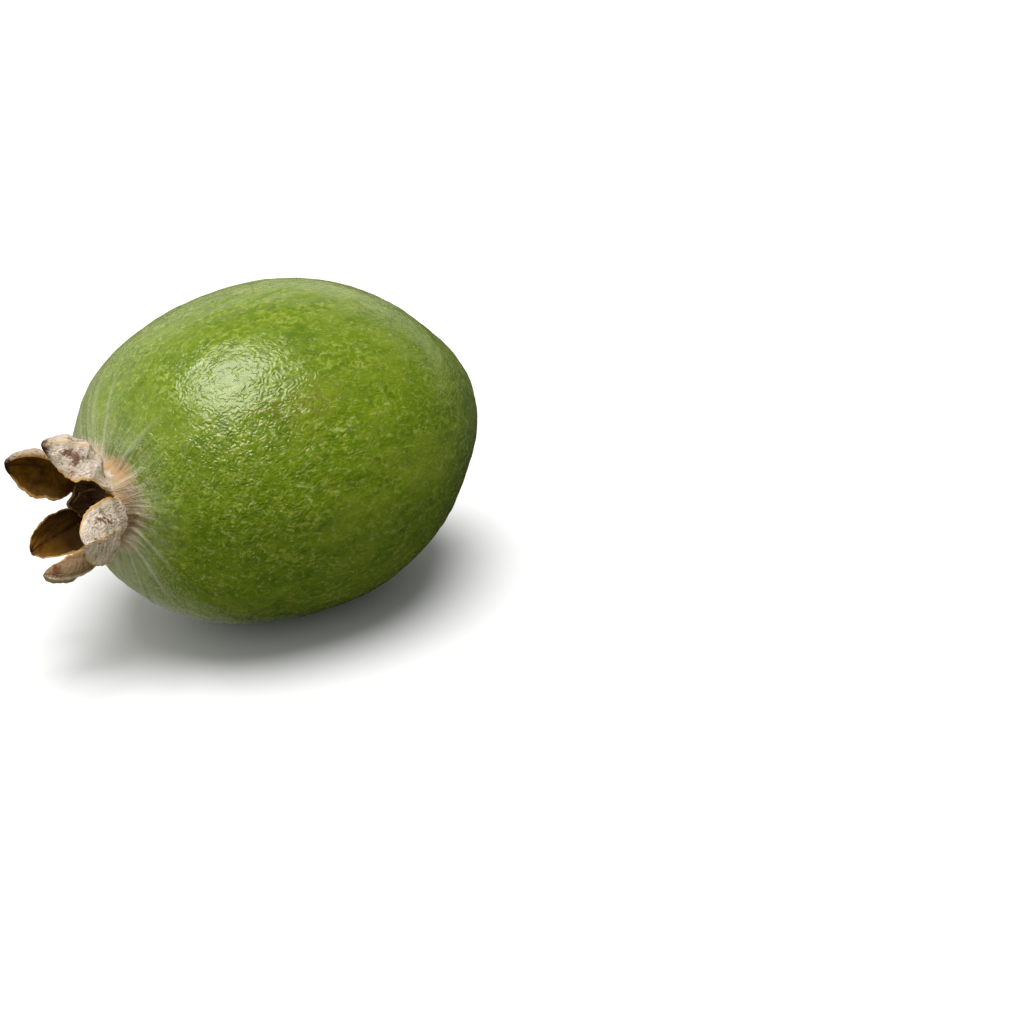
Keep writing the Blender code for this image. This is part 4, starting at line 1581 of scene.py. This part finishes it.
@dataclass(frozen=True)
class Studio:
    """The floor, the light and the camera. Lengths are in metres, but the lens's in mm.

    Fill, backdrop and below are each a level of light away from a heading and one towards
    it. The backdrop gives way to the ceiling's level between the two heights of its top.
    """

    floor_half: float = 20.0
    floor_colour: Colour = (0.93, 0.93, 0.93)
    bounce_colour: Colour = (0.28, 0.28, 0.21)
    key_strength: float = 2.8
    key_angle: float = 42.0
    key_heading: tuple[float, float, float] = (-0.09, -0.08, 1.0)
    fill: tuple[float, float] = (0.08, 0.75)
    fill_heading: tuple[float, float, float] = (-0.95, 0.3, 0.1)
    glossy_colour: Colour = (1.0, 0.98, 0.8)
    backdrop: tuple[float, float] = (0.04, 0.9)
    backdrop_heading: tuple[float, float, float] = (-0.1, 0.99, 0.0)
    backdrop_top: tuple[float, float] = (0.35, 0.75)
    ceiling: float = 0.16
    below: tuple[float, float] = (0.0, 0.5)
    below_heading: tuple[float, float, float] = (-0.207, 0.83, -0.52)
    lens: float = 90.0
    sensor: float = 36.0
    look_offset: tuple[float, float, float] = (0.01581, -0.03190, -0.00495)
    camera_offset: tuple[float, float, float] = (-0.2284, -0.2458, 0.1636)

    def build_floor(self) -> bpy.types.Object:
        """Lay a wide pale floor.

        Returns:
            The floor, which is duller to diffuse rays and unseen by reflections.
        """
        material, graph, shader = new_material("floor")
        bounced = graph.node("ShaderNodeLightPath").outputs["Is Diffuse Ray"]
        graph.feed(shader.inputs["Base Color"],
                   graph.mix(bounced, self.floor_colour, self.bounce_colour))
        shader.inputs["Roughness"].default_value = 0.9
        shader.inputs["Specular IOR Level"].default_value = 0.1
        side = self.floor_half
        corners = np.array([(-side, -side, 0), (side, -side, 0), (side, side, 0),
                            (-side, side, 0)], dtype=float)
        floor = add_mesh("floor", corners, [(0, 1, 2, 3)], material, {})
        floor.visible_glossy = False
        return floor

    def build_light(self) -> None:
        """Add a broad overhead light and a pale surround that is darker below."""
        lamp = bpy.data.lights.new("overhead", "SUN")
        lamp.energy = self.key_strength
        lamp.angle = math.radians(self.key_angle)
        thing = bpy.data.objects.new("overhead", lamp)
        thing.rotation_mode = "QUATERNION"
        thing.rotation_quaternion = Vector(self.key_heading).to_track_quat("Z", "Y")
        bpy.context.scene.collection.objects.link(thing)
        world = bpy.data.worlds.new("surround")
        world.use_nodes = True
        bpy.context.scene.world = world
        self.shade_world(Graph(world.node_tree), world.node_tree.nodes["Background"])

    def shade_world(self, graph: Graph, shade: bpy.types.Node) -> None:
        """Set the surround's light.

        Args:
            graph: The graph of the world's tree.
            shade: Its Background node.
        """
        way = graph.node("ShaderNodeTexCoord").outputs["Generated"]
        height = graph.node("ShaderNodeSeparateXYZ", {0: way}).outputs[2]
        towards_fill, towards_backdrop, towards_below = (
            graph.node("ShaderNodeVectorMath", {0: way, 1: heading},
                       operation="DOT_PRODUCT").outputs["Value"]
            for heading in (self.fill_heading, self.backdrop_heading, self.below_heading))
        soft = graph.step(towards_fill, -0.9, 0.9, *self.fill)
        backdrop = graph.step(towards_backdrop, -0.3, 0.7, *self.backdrop)
        above = graph.step(height, *self.backdrop_top, backdrop, self.ceiling)
        below = graph.step(towards_below, 0.68, 0.9, *self.below)
        mirrored = graph.step(height, -0.08, 0.02, below, above)
        path = graph.node("ShaderNodeLightPath")
        graph.feed(shade.inputs["Color"], graph.mix(
            path.outputs["Is Glossy Ray"], (1.0, 1.0, 1.0), self.glossy_colour))
        level = graph.step(path.outputs["Is Glossy Ray"], 0.0, 1.0, soft, mirrored)
        graph.feed(shade.inputs["Strength"],
                   graph.math("MAXIMUM", level, path.outputs["Is Camera Ray"]))

    def build_camera(self, placement: Placement) -> None:
        """Set the camera in front of the calyx end, a little above the fruit.

        Args:
            placement: Where the fruit lies.
        """
        camera = bpy.data.cameras.new("camera")
        camera.lens = self.lens
        camera.sensor_width = self.sensor
        camera.clip_start = 0.01
        camera.clip_end = 100.0
        thing = bpy.data.objects.new("camera", camera)
        target = Vector(placement.centre) + Vector(self.look_offset)
        away = Vector(self.camera_offset)
        thing.location = target + away
        thing.rotation_mode = "QUATERNION"
        thing.rotation_quaternion = away.to_track_quat("Z", "Y")
        bpy.context.scene.collection.objects.link(thing)
        bpy.context.scene.camera = thing

    def build(self, placement: Placement) -> None:
        """Set up the whole studio."""
        self.build_floor()
        self.build_light()
        self.build_camera(placement)
        bpy.context.scene.view_settings.view_transform = "Standard"


def main() -> None:
    """Build every piece in order."""
    logging.basicConfig(level=logging.INFO, format="%(name)s: %(message)s")
    effects = Effects()
    body = FruitBody()
    placement = body.placement()
    LOG.info("centre %s", placement.centre)
    skin = SkinFinish().material(effects)
    felt = SepalFinish().material(effects)
    fibre = ThreadFinish().material(effects)
    place_piece(body.build(placement, skin), "fruit_body")
    for sepal in SEPALS:
        place_piece(sepal.build(placement, felt), sepal.name)
    place_piece(StyleStub().build(placement, fibre), "style_stub")
    for number, thread in enumerate(THREADS, 1):
        place_piece(thread.build(placement, fibre), f"dried_filament_{number}")
    Studio().build(placement)


if __name__ == "__main__":
    main()
